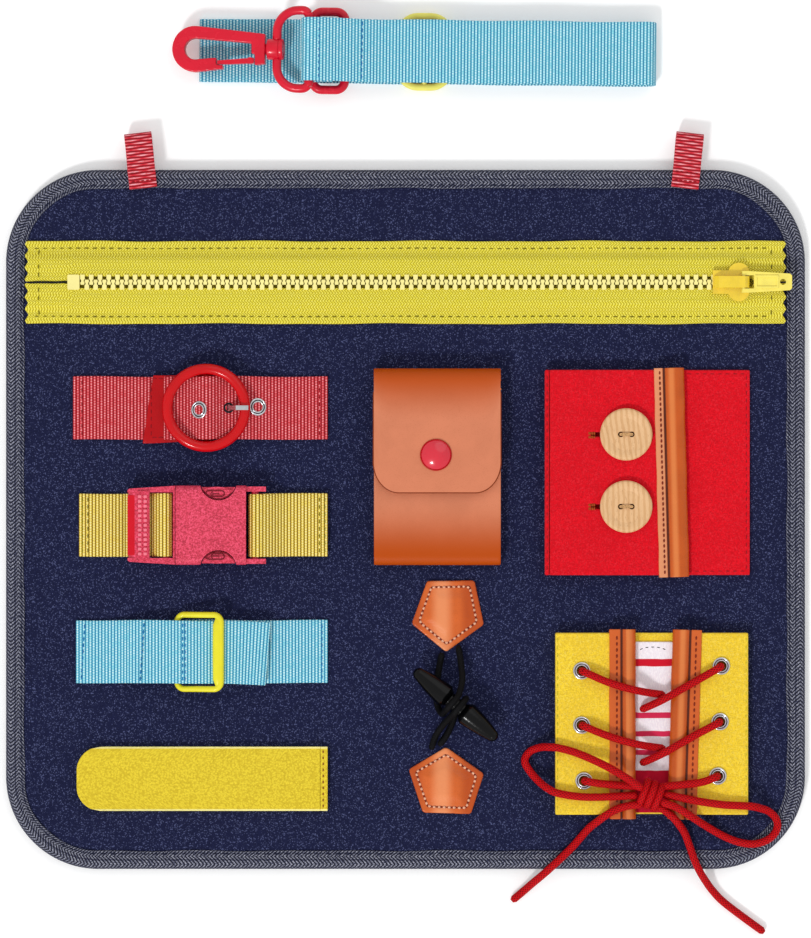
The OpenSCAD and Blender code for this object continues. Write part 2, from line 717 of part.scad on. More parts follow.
// The buckle leans through two flat layers: under the upper one at its left bar, over it at its right bar
slide_lift = slide_bar_d + 2 * gap;
slide_up_z = web_z + web_t + slide_lift;
slide_lean = atan((web_t + slide_bar_d + 2 * gap) / (slide_l - slide_bar_d));
slide_mid_z = slide_up_z;

module slide_strap_right() color([0.35, 0.75, 0.88]) {
    translate([0, slide_y, 0]) band([[strap_end, web_z], [slide_x - slide_l / 2 - slide_travel, web_z]], web_t, web_w);
}

module slide_strap_left() color([0.35, 0.75, 0.88]) {
    x0 = slide_x - slide_l / 2 - slide_travel - 2;
    x1 = slide_x + slide_l / 2 + slide_travel;
    translate([0, slide_y, 0]) band([[slide_strap_x, web_z], [x0 - 7, web_z], [x0, slide_up_z], [x1, slide_up_z],
        [x1 + 5.5, slide_up_z - 0.8]], web_t, web_w);
}

module slide_buckle() color([0.86, 0.83, 0.22]) {
    translate([slide_x, slide_y, slide_mid_z]) rotate([0, -slide_lean, 0])
        bar_frame(slide_l / cos(slide_lean), slide_w, 3, slide_bar_d);
}

// ---- Touch tape ----

touch_hinge = strap_end - 3;
touch_z = face + touch_t + 0.2;

module touch_outline() {
    r = touch_w / 2;
    translate([touch_x + r * 0.9, 0]) intersection() {
        circle(r);
        translate([-r * 0.9, -r]) square([r * 0.9 + 0.1, 2 * r]);
    }
    translate([touch_x + r * 0.9, -r]) square([touch_hinge - touch_x - r * 0.9, 2 * r]);
}

module touch_tape_base() color([0.84, 0.77, 0.17]) {
    translate([0, touch_y, face]) {
        linear_extrude(touch_t) intersection() {
            touch_outline();
            translate([touch_x + 2, -touch_w / 2 + 0.6]) square([200, touch_w - 1.2]);
        }
        translate([touch_hinge - 0.5, -touch_w / 2, 0]) cube([strap_end - touch_hinge + 0.5, touch_w, touch_t]);
        translate([touch_hinge + 0.25, -touch_w / 2, 0]) cube([strap_end - touch_hinge - 0.25, touch_w, 2 * touch_t + 0.2]);
    }
}

module touch_tape_flap() color([0.86, 0.8, 0.2]) {
    translate([0, touch_y, touch_z]) linear_extrude(touch_t) touch_outline();
}

// ---- Pouch ----

pouch_mid = pouch_x + pouch_w / 2;
front_z = face + leather_t + pocket_gap;
snap_gap = 2.2;
flap_z = front_z + leather_t + snap_gap;
fold_bottom = (front_z + leather_t - face) / 2;
fold_top = (flap_z + leather_t - face) / 2;
flap_hinge_y = pouch_top - fold_top;
snap_y = 25.8;

// A half-round fold of leather of outer radius r at height y, open towards the inside; s is +1 at the top
module leather_fold(y, r, s) {
    translate([pouch_x, y - s * r, face + r]) rotate([90, 0, 90]) linear_extrude(pouch_w) difference() {
        circle(r);
        circle(r - leather_t);
        translate([s > 0 ? -3 * r : 0, -2 * r]) square([3 * r, 4 * r]);
    }
}

// Back panel, the pocket's front and both folds are one strip of leather
module pouch_body() color([0.82, 0.48, 0.3]) {
    y0 = pouch_bottom + fold_bottom;
    translate([pouch_x, y0, face]) cube([pouch_w, flap_hinge_y - y0, leather_t]);
    translate([pouch_x, y0, front_z]) cube([pouch_w, pocket_top - y0, leather_t]);
    leather_fold(pouch_bottom, fold_bottom, -1);
    leather_fold(pouch_top, fold_top, 1);
}

// The flap's outline, its lower corners rounded in an ogee's way by a small arc
module pouch_flap() color([0.82, 0.48, 0.3]) {
    r = 9;
    h = flap_hinge_y - 0.2 - flap_bottom;
    translate([pouch_x, flap_bottom, flap_z]) difference() {
        linear_extrude(leather_t) {
            translate([r, 0]) square([pouch_w - 1 - 2 * r, h]);
            translate([0, r]) square([pouch_w - 1, h - r]);
            for (x = [r, pouch_w - 1 - r]) translate([x, r]) circle(r);
        }
        translate([snap_x, snap_y - flap_bottom, -1]) cylinder(d = 3, h = leather_t + 2);
    }
}

snap_x = 24.7;
module at_snap(z) {
    translate([pouch_x + snap_x, snap_y, z]) children();
}

// Domed cap with its post through the flap
module snap_cap() color([0.87, 0.07, 0.12]) {
    rise = 2;
    ball = (snap_d * snap_d / 4 + rise * rise) / (2 * rise);
    at_snap(flap_z + leather_t) {
        intersection() {
            translate([0, 0, rise - ball + 0.4]) sphere(ball, $fn = 64);
            cylinder(d = snap_d, h = rise + 1);
        }
        translate([0, 0, -leather_t]) cylinder(d = 2.9, h = leather_t + 0.2);
    }
}

module snap_socket() color([0.75, 0.76, 0.78]) {
    at_snap(flap_z - 1.8) difference() {
        union() {
            cylinder(d = 9.4, h = 1.8);
        }
        translate([0, 0, -1]) cylinder(d = 4.4, h = 2.4);
    }
}

module snap_stud() color([0.75, 0.76, 0.78]) {
    at_snap(front_z + leather_t) {
        cylinder(d = 8, h = 0.3);
        cylinder(d = 3.6, h = 1.4);
    }
}

// ---- Toggle ----

cord_r = toggle_cord_d / 2;
patch_t = 1.4;
neck_r = 3;
neck_l = 3.4;
peg_z = face + toggle_cord_d + gap + peg_d / 2;
peg_c = [toggle_x, toggle_y, peg_z];
peg_axis = [cos(peg_turn), sin(peg_turn), 0];
peg_side = [-sin(peg_turn), cos(peg_turn), 0];
wrap_r = neck_r + cord_r + gap;
cord_z = face + cord_r + 0.1;
upper_patch = [[8.6, -24.5], [27.6, -24.3], [31.4, -42], [16.2, -53], [2.4, -41.7]];
lower_patch = [[16.2, -90.9], [31.4, -101.6], [26.2, -117.8], [6.9, -117.2], [1.2, -99.9]];

// A five-sided leather patch with softened corners
module patch(p) {
    linear_extrude(patch_t) offset(2.2) offset(delta = -2.2) polygon(p);
}

module toggle_patches() color([0.74, 0.37, 0.16]) {
    translate([0, 0, face]) patch(upper_patch);
    translate([0, 0, face]) patch(lower_patch);
}

// A place on a turn of cord round the peg's neck, s along the peg and a round it
function wrap(s, a) = peg_c + s * peg_axis + wrap_r * (cos(a) * peg_side + sin(a) * [0, 0, 1]);

upper_cord = concat([[21, -50.4, cord_z], [22, -56, cord_z + 2], [22.6, -64, cord_z + 6]],
    [for (a = [40:30:190]) wrap(-1.6, a)],
    [[14.6, -77.6, cord_z + 3], [12.8, -74.5, cord_z], [12.4, -69, cord_z], [13, -62, cord_z], [14.6, -53.6, cord_z]]);
lower_cord = concat([[13.2, -90.4, cord_z], [16, -87, cord_z], [18.6, -81.5, cord_z + 0.2]],
    [for (a = [255:-30:-15]) wrap(1.6, -a + 510)],
    [[15, -82, cord_z + 3.2], [12, -86.5, cord_z + 0.4], [10.2, -92, cord_z]]);

module toggle_cord_upper() color([0.07, 0.07, 0.08]) {
    cord(upper_cord, cord_r);
}

module toggle_cord_lower() color([0.07, 0.07, 0.08]) {
    cord(lower_cord, cord_r);
}

// Radius of the peg at x from its middle: thick shoulders, slim round ends and a neck for the cords
peg_tip = 1.9;
function peg_r(x) = peg_tip + (peg_d / 2 - peg_tip) * pow(cos(90 * x / (peg_len / 2)), 0.8);
shoulder = 5.6;
module toggle_peg() color([0.06, 0.06, 0.07]) {
    end = peg_len / 2 - peg_tip;
    n = 9;
    half = concat([[neck_r, neck_l], [neck_r + 0.5, neck_l + 0.5]],
        [for (i = [0:n]) let (x = shoulder + (end - shoulder) * i / n) [peg_r(x), x]],
        arc([0, end], peg_r(end), 15, 75, 4));
    tip = end + peg_r(end);
    other = [for (i = [len(half) - 1:-1:0]) [half[i][0], -half[i][1]]];
    translate(peg_c) rotate([0, 90, peg_turn]) rotate_extrude() polygon(concat([[0, -tip]], other, half, [[0, tip]]));
}

// ---- Button panel ----

// Section of a tape folded round an edge: w wide, h over both legs, its round fold outward
module fold_section(w, h, t) {
    r = h / 2;
    difference() {
        union() {
            square([w - r, h]);
            translate([w - r, r]) circle(r);
        }
        translate([-1, t]) square([w - r + 1, h - 2 * t]);
        translate([w - r, r]) circle(r - t);
    }
}

trim_t = 1;
trim_w = 12;
hem = 1.8;
flap_low = face + panel_t + trim_t + 0.2;
button_hinge = button_x + hem + 0.15;
trim_lean = 1.5;
button_mid_y = button_top - button_h / 2;
button_cx = button_x + button_in;
button_ys = [button_mid_y + 0.8 + button_pitch / 2, button_mid_y + 0.8 - button_pitch / 2];
button_z = flap_low + panel_t + gap;
// Middle of the flap's trimmed edge
trim_x = button_x + 50.6;
thread_d = 1.2;
thread_x = 2.2;
slit_w = 1.7;

module button_base() color([0.87, 0.1, 0.16]) {
    translate([button_x, button_top - button_h, face]) {
        cube([button_w, button_h, panel_t]);
        cube([hem, button_h, flap_low - face + panel_t]);
    }
}

module button_flap() color([0.87, 0.1, 0.16]) {
    edge = trim_x + trim_w / 2 - trim_t - 1.5;
    skew = button_h / 2 * tan(trim_lean);
    translate([0, 0, flap_low]) difference() {
        slab([[button_hinge, button_top - button_h], [edge + skew, button_top - button_h],
            [edge - skew, button_top], [button_hinge, button_top]], panel_t);
        for (y = button_ys) translate([button_cx - 14, y - slit_w / 2, -1]) cube([24.5, slit_w, panel_t + 2]);
    }
}

module button_flap_binding() color([0.72, 0.38, 0.18]) {
    h = panel_t + 2 * trim_t;
    translate([trim_x, button_mid_y, flap_low - trim_t]) rotate([0, 0, trim_lean])
        translate([-trim_w / 2, (button_h + 1) / 2, 0]) rotate([90, 0, 0]) linear_extrude(button_h + 1)
            fold_section(trim_w, h, trim_t);
}

// A dished wooden button with two holes
module button() {
    r = button_d / 2;
    difference() {
        rotate_extrude() polygon([[0, 0], [r - 0.8, 0], [r, 0.8], [r, button_t - 0.7], [r - 0.5, button_t - 0.15],
            [r - 1.2, button_t], [r - 2.2, button_t - 0.1], [r - 4, button_t - 0.6], [0, button_t - 0.6]]);
        for (s = [-1, 1]) translate([s * thread_x, 0, -1]) cylinder(d = 2.2, h = button_t + 2);
    }
}

module wood_buttons() color([0.9, 0.78, 0.58]) {
    for (y = button_ys) translate([button_cx, y, button_z]) button();
}

// The thread that holds each button: two strands through the slit and a bridge over the top
module button_threads() color([0.25, 0.12, 0.06]) {
    top = button_z + button_t - 0.5;
    for (y = button_ys) translate([button_cx, y, 0]) {
        for (s = [-1, 1]) translate([s * thread_x, 0, face + panel_t]) cylinder(d = thread_d, h = top - face - panel_t + 0.6);
        translate([-thread_x, -thread_d / 2, top]) cube([2 * thread_x, thread_d, 0.6]);
    }
}

// ---- Lacing panel ----

ground_t = 1.2;
tongue_t = 0.8;
lacing_z = face + ground_t + tongue_t + trim_t + 0.2;
lacing_mid = lacing_x + lacing_w / 2;
lacing_bottom = lacing_top - lacing_h;
lacing_trim = 11;
// Inner edges of the two flaps' bindings, and the lean of the right one
left_edge = lacing_x + 32.2;
right_edge = lacing_x + 45.6;
right_lean = 1.6;
left_eyelets = [[70.3, -60.3], [70.3, -82], [71.2, -104.2]];
right_eyelets = [[126, -58.4], [125.5, -80.6], [124.6, -102.3]];
lacing_r = 1;

module lacing_base() color([0.95, 0.82, 0.15]) {
    translate([lacing_x, lacing_bottom, face]) {
        cube([lacing_w, lacing_h, ground_t]);
        cube([hem, lacing_h, lacing_z - face - 0.1]);
        translate([lacing_w - hem, 0, 0]) cube([hem, lacing_h, lacing_z - face - 0.1]);
    }
}

module lacing_tongue() color([0.93, 0.93, 0.92]) {
    translate([left_edge - 5, lacing_bottom + 0.6, face + ground_t])
        plate(right_edge - left_edge + 10, lacing_h - 4, tongue_t, 5);
}

module lacing_flaps() color([0.95, 0.82, 0.15]) {
    skew = lacing_h / 2 * tan(right_lean);
    inner = 1.6 + trim_t;
    difference() {
        translate([0, 0, lacing_z]) {
            translate([lacing_x, lacing_bottom, 0]) cube([left_edge - inner - lacing_x, lacing_h, panel_t]);
            slab([[right_edge + inner - skew, lacing_bottom], [lacing_x + lacing_w, lacing_bottom],
                [lacing_x + lacing_w, lacing_top], [right_edge + inner + skew, lacing_top]], panel_t);
        }
        for (p = concat(left_eyelets, right_eyelets)) translate([p[0], p[1], lacing_z - 1])
            cylinder(d = eyelet_hole + 1, h = panel_t + 2);
    }
}

module lacing_bindings() color([0.72, 0.38, 0.18]) {
    h = panel_t + 2 * trim_t;
    z = lacing_z - trim_t;
    y = (lacing_top + lacing_bottom) / 2;
    l = lacing_h + 1;
    translate([left_edge - lacing_trim, y + l / 2, z]) rotate([90, 0, 0]) linear_extrude(l)
        fold_section(lacing_trim, h, trim_t);
    translate([right_edge, y, z]) rotate([0, 0, -right_lean]) translate([lacing_trim, -l / 2, 0]) rotate([90, 0, 180])
        linear_extrude(l) fold_section(lacing_trim, h, trim_t);
}

module lacing_eyelets() color([0.75, 0.76, 0.78]) {
    for (p = concat(left_eyelets, right_eyelets)) translate([p[0], p[1], lacing_z]) difference() {
        union() {
            cylinder(d = eyelet_hole + 0.9, h = panel_t);
            translate([0, 0, panel_t]) cylinder(d = eyelet_d, h = 0.6);
        }
        translate([0, 0, -1]) cylinder(d = eyelet_hole, h = panel_t + 2.6);
    }
}

// ---- Lace ----

lr = lace_d / 2;
over_flap = lacing_z + panel_t + lr + 0.35;
over_trim = lacing_z + panel_t + trim_t + lr + 0.25;
on_tongue = face + ground_t + tongue_t + lr + 0.2;
on_board = face + lr + 0.3;
on_table = lr + 0.1;
knot_r = 4.4;
knot_c = [97.8, -109.6, over_trim + 0.4];

// The lace comes up through an eyelet and bends over its rim towards the point q
function out_of(p, q) = let (d = unit(q - p), z = lacing_z + panel_t) [[p[0], p[1], z - 0.9],
    [p[0] + 0.5 * d[0], p[1] + 0.5 * d[1], z + 1.5], [p[0] + 1.7 * d[0], p[1] + 1.7 * d[1], z + lr + 1.1]];

module lace_crossing() color([0.83, 0.05, 0.08]) {
    for (i = [0, 1]) {
        l = left_eyelets[i];
        r = right_eyelets[i];
        y = [0, -21.4][i];
        cord(concat(out_of(l, [81.6, -65.1 + y]), [[81.6, -65.1 + y, over_trim], [91, -67.8 + y, over_trim],
            [98, -69.2 + y, on_tongue + 1.2], [103.6, -70 + y, on_tongue]]), lr);
        cord(concat(out_of(r, [116.7, -63.8 + y]), [[116.7, -63.8 + y, over_trim], [109, -68.1 + y, over_trim],
            [103.4, -71.3 + y, over_trim], [98.6, -73.8 + y, on_tongue + 1.8], [93.8, -76 + y, on_tongue]]), lr);
    }
    cord(concat(out_of(left_eyelets[2], [80, -105.4]), [[80, -105.4, over_trim], [94, -106.4, over_trim]]), lr);
    cord(concat(out_of(right_eyelets[2], [117, -104.8]), [[117, -104.8, over_trim], [102.2, -106.4, over_trim]]), lr);
}

module lace_knot() color([0.83, 0.05, 0.08]) {
    translate(knot_c) sphere(knot_r);
}

loop_left = [[94.4, -107.2, 18.9], [89, -103.4, 19], [82, -99.2, 18], [75.5, -96, 16.2], [68, -92.9, over_flap + 0.3],
    [61, -91, over_flap + 0.2], [57.2, -90.7, over_flap - 0.6], [53.6, -91, 10.8], [49.6, -92.8, on_board],
    [47.6, -96.4, on_board], [49.6, -100.4, on_board + 0.2], [53, -104.3, 10.6], [57, -107.4, 13.4],
    [61.4, -109.2, over_flap + 0.3], [71, -110.5, over_flap + 0.4], [81.6, -110.4, over_trim], [92.8, -109.7, over_trim]];
loop_right = [[102.6, -109.7, 15.8], [108, -110.4, 15.8], [117, -112.2, 15.4], [126.5, -113.6, over_flap + 0.4],
    [133.5, -114, over_flap + 0.2], [138, -114.3, over_flap], [141.6, -115.2, 11.6], [145.6, -116.9, on_board + 0.2],
    [148.4, -120.2, on_board], [148.2, -124.4, on_board], [145, -127.8, on_board], [139.6, -129.6, on_board],
    [133.5, -129, on_board], [127.5, -126.7, on_board], [121.8, -123.5, 9.8], [117.6, -120.8, 12.6],
    [113.8, -118.2, 15.3], [107.6, -114.4, 16.8], [101.6, -112.3, 18.4]];
tail_left = [[94.8, -113.5, over_trim], [89.4, -113.9, over_trim], [84.6, -115.2, over_trim], [80.4, -117.4, over_trim],
    [76.6, -120.4, 12.8], [72.8, -123.8, on_board + 0.6], [66.5, -131, on_board], [58.6, -138.6, 9.2],
    [54.4, -142.5, 7], [50.4, -146.2, 3.2], [46.4, -149.8, on_table + 0.1], [42.6, -153, on_table]];
tail_right = [[100, -113.9, over_trim], [103.8, -116.2, over_trim], [107, -119, over_trim], [109.4, -122, 12.6],
    [111.6, -125.4, on_board + 0.7], [113.7, -131, on_board], [115.6, -136.4, on_board + 0.3], [117.6, -140.6, 8],
    [119.8, -144.2, 4.8], [122.6, -148.2, 2.2], [127, -153, on_table], [135, -159.2, on_table], [143.8, -165.6, on_table]];

module lace_loop_left() color([0.83, 0.05, 0.08]) {
    cord(loop_left, lr);
}

module lace_loop_right() color([0.83, 0.05, 0.08]) {
    cord(loop_right, lr);
}

module lace_tail_left() color([0.83, 0.05, 0.08]) {
    cord(tail_left, lr);
}

module lace_tail_right() color([0.83, 0.05, 0.08]) {
    cord(tail_right, lr);
}

// ---- Carrying strap ----

// The folded strap lies on the same surface as the board; its own centre line is y = 0
module at_carry() {
    translate([0, carry_y, 0]) rotate([0, 0, -carry_turn]) children();
}

half_t = web_t / 2;
carry_w = web_w;
eye_l = 16.4;
eye_wrap = eye_d / 2 + run + half_t;
back_z = half_t;
return_z = back_z + web_t + 0.4;
slider_bar = 2.2;
hook2_t = hook_t - 1;
hook2_z = web_t + slider_bar + gap + 0.1 + hook2_t / 2;
eye2_x = -37;
eye1_x = -38.6;
eye1_z = hook2_z + 2 * eye_wrap + web_t + 0.1;
front_z2 = hook2_z + hook2_t / 2 + gap + half_t;
fold_r = (front_z2 - back_z) / 2;
turn_r = (return_z - back_z) / 2;
// The front hook leans down from its eye until its nose lies on the strap
hook_drop = asin((eye1_z - return_z - half_t - hook_t / 2 - 1.5) / (hook_len + eye_l - 5));

// One length of webbing: round the front eye, along the front, folded at the right, back, folded at the left
// and round the back eye
carry_route = concat([[-29, eye1_z - 1.4], [-33, eye1_z - 0.9], [-36.2, eye1_z - eye_wrap + 0.7]],
    arc([eye1_x, eye1_z], eye_wrap, -60, -270, 8),
    [[eye1_x + 6, eye1_z + eye_wrap - 0.8], [-25, eye1_z], [-19.5, eye1_z - 1.2], [-12, front_z2 + 0.5],
    [-6, front_z2]],
    arc([carry_right - fold_r - half_t, back_z + fold_r], fold_r, 90, -90, 8),
    arc([carry_left + half_t + turn_r, (back_z + return_z) / 2], turn_r, 270, 90, 6),
    [[eye2_x - 8, return_z], [eye2_x - 1, hook2_z - eye_wrap]],
    arc([eye2_x, hook2_z], eye_wrap, -75, 130, 9),
    [[eye2_x - 5.5, return_z + web_t + 1.4], [eye2_x - 8.4, return_z + web_t + 0.1], [eye2_x - 15, return_z + web_t + 0.1]]);

module carry_webbing() color([0.45, 0.77, 0.9]) {
    at_carry() band(carry_route, web_t, carry_w);
}

module carry_slider() color([0.86, 0.83, 0.22]) {
    at_carry() translate([7.6, 0.3, web_t + gap / 2 + slider_bar / 2]) {
        bar_frame(20.4, 32, 3, slider_bar);
        bar_y(slider_bar, 30);
    }
}

// An eye with its bar at the origin and its far side towards -X, where the swivel's boss is
module hook_eye() {
    far = -(eye_l - eye_d);
    difference() {
        union() {
            translate([far / 2, 0, 0]) bar_frame(eye_l, eye_w, 3.6, eye_d);
            translate([far, 0, 0]) rotate([0, -90, 0]) translate([0, 0, -2.6]) cylinder(d = 8.4, h = 6.4);
        }
        translate([far, 0, 0]) rotate([0, -90, 0]) {
            translate([0, 0, -3]) cylinder(d = 4.4, h = 8);
            translate([0, 0, -3]) cylinder(d = 6.6, h = 2);
        }
    }
}

swivel_x = -(eye_l - eye_d) - 4;
// Plan of the snap hook: a long ring, wide at its nose
module hook_plan(inset) {
    r = hook_w / 2 - inset;
    end = inset > 0 ? hook_len - 6 : hook_len - 0.6;
    narrow = 6 - inset * 0.75;
    nose = -hook_len + hook_w / 2;
    lean = asin((r - narrow) / (hook_len - hook_w / 2 - 4));
    translate([nose, 0]) circle(r);
    polygon([[nose + r * sin(lean), r * cos(lean)], [nose + end - hook_w / 2, narrow],
        [nose + end - hook_w / 2, -narrow], [nose + r * sin(lean), -r * cos(lean)]]);
}

gate_from = -17.6;
gate_to = -4.6;

module snap_hook(t) {
    difference() {
        linear_extrude(t, center = true) difference() {
            hook_plan(0);
            hook_plan(5);
            translate([gate_from, -hook_w]) square([gate_to - gate_from, hook_w - 2]);
        }
        // The nose tapers where the gate closes on it
        translate([gate_from - 2.6, -6.4, -t]) cube([4, 3.4, 2 * t]);
    }
    translate([-3.6, 0, 0]) rotate([0, 90, 0]) {
        cylinder(d = 3.9, h = 9.6);
        translate([0, 0, 8.8]) cylinder(d = 6, h = 1.3);
    }
}

// The sprung gate, hinged at its right end
module hook_gate(t) {
    linear_extrude(t - 1.6, center = true)
        polygon([[gate_from - 2.2, -4.6], [gate_to - 0.6, -3.5], [gate_to - 0.3, -4.6], [gate_to - 0.6, -5.7],
            [gate_from - 2.2, -6.2]]);
    translate([gate_to - 2, -4.6, 0]) cylinder(r = 1.3, h = t - 0.8, center = true);
}

module front_place() {
    at_carry() translate([eye1_x, 0, eye1_z]) rotate([0, -hook_drop, 0]) children();
}

module back_place() {
    at_carry() translate([eye2_x, 0, hook2_z]) rotate([0, 0, 180]) children();
}

module carry_eye_front() color([0.88, 0.13, 0.25]) {
    front_place() hook_eye();
}

module carry_hook_front() color([0.88, 0.13, 0.25]) {
    front_place() translate([swivel_x, 0, 0]) snap_hook(hook_t);
}

module carry_gate_front() color([0.88, 0.13, 0.25]) {
    front_place() translate([swivel_x, 0, 0]) hook_gate(hook_t);
}

// The back hook lies flat between the strap's layers, so its eye and hook stay in line
module carry_hook_back() color([0.88, 0.13, 0.25]) {
    back_place() {
        hook_eye();
        translate([swivel_x, 0, 0]) snap_hook(hook2_t);
    }
}

module carry_gate_back() color([0.88, 0.13, 0.25]) {
    back_place() translate([swivel_x, 0, 0]) hook_gate(hook2_t);
}

// ---- Pieces ----

back_felt();
board_core();
front_felt();
edge_binding();
hang_loops();
zip_tape_upper();
zip_tape_lower();
zip_teeth();
zip_slider();
zip_pull();
ring_strap_left();
ring_strap_right();
ring_buckle();
ring_tab();
ring_prong();
ring_eyelets();
clip_strap_left();
clip_strap_loop();
clip_strap_right();
clip_plug();
clip_arm_upper();
clip_arm_lower();
clip_socket();
slide_strap_left();
slide_strap_right();
slide_buckle();
touch_tape_base();
touch_tape_flap();
pouch_body();
pouch_flap();
snap_cap();
snap_socket();
snap_stud();
toggle_patches();
toggle_cord_upper();
toggle_cord_lower();
toggle_peg();
button_base();
button_flap();
button_flap_binding();
wood_buttons();
button_threads();
lacing_base();
lacing_tongue();
lacing_flaps();
lacing_bindings();
lacing_eyelets();
lace_crossing();
lace_knot();
lace_loop_left();
lace_loop_right();
lace_tail_left();
lace_tail_right();
carry_webbing();
carry_slider();
carry_eye_front();
carry_hook_front();
carry_gate_front();
carry_hook_back();
carry_gate_back();
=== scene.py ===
import bpy
import json
import random

from math import copysign, cos, exp, hypot, pi, radians, sin, sqrt, tan
from mathutils import Matrix, Vector

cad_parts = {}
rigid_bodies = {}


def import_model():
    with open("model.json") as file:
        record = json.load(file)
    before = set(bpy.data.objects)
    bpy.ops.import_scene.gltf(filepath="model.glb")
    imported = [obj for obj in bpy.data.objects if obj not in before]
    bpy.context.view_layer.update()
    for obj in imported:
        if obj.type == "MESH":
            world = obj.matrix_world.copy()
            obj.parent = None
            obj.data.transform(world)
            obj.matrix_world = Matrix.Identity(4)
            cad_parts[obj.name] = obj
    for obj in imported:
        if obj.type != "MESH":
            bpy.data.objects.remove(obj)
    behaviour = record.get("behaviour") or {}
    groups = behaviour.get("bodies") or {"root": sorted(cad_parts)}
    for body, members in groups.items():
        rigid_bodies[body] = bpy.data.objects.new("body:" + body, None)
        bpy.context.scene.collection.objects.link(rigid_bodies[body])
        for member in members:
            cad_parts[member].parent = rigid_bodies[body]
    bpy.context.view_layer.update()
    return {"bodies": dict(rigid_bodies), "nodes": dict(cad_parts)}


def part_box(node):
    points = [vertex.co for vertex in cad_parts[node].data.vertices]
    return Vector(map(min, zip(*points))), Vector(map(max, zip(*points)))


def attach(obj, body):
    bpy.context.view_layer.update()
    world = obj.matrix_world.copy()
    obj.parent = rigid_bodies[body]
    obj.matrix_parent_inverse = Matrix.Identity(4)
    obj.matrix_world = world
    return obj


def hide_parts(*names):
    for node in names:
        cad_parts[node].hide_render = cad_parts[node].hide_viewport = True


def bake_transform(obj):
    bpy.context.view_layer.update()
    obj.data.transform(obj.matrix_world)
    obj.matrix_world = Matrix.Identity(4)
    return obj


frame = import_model()
nodes = frame["nodes"]
random.seed(7)

# ---- Camera, light and table ----


def set_camera():
    """A long lens straight above the board, a little towards the strap that lies beyond its top edge."""
    height, towards_strap = 2.0914, 0.0202
    bpy.ops.object.camera_add(location=(0, towards_strap, height), rotation=(0, 0, 0))
    camera = bpy.context.object
    camera.name = "camera"
    camera.data.lens = 200
    camera.data.sensor_width = 36
    camera.data.clip_end = 20
    bpy.context.scene.camera = camera


def light_studio():
    """A white dome for most of the light and two broad soft lamps that give the relief its shade."""
    world = bpy.context.scene.world or bpy.data.worlds.new("studio")
    bpy.context.scene.world = world
    world.use_nodes = True
    dome = world.node_tree.nodes["Background"]
    dome.inputs["Color"].default_value = (1, 1, 1, 1)
    dome.inputs["Strength"].default_value = 0.7
    for name, angle, strength, spread in (("key", (0.66, -0.42, 0), 1.45, 0.16), ("fill", (-0.7, 0.5, 0), 0.3, 0.9)):
        bpy.ops.object.light_add(type="SUN", rotation=angle)
        lamp = bpy.context.object
        lamp.name = name
        lamp.data.energy = strength
        lamp.data.angle = spread
    bpy.context.scene.view_settings.view_transform = "Standard"


set_camera()
light_studio()

# ---- Making finishes ----


def shade(red, green, blue):
    """A colour given from 0 to 255 as the eye sees it."""
    out = []
    for part in (red, green, blue):
        part = part / 255
        out.append(part / 12.92 if part < 0.04045 else ((part + 0.055) / 1.055) ** 2.4)
    return tuple(out) + (1.0,)


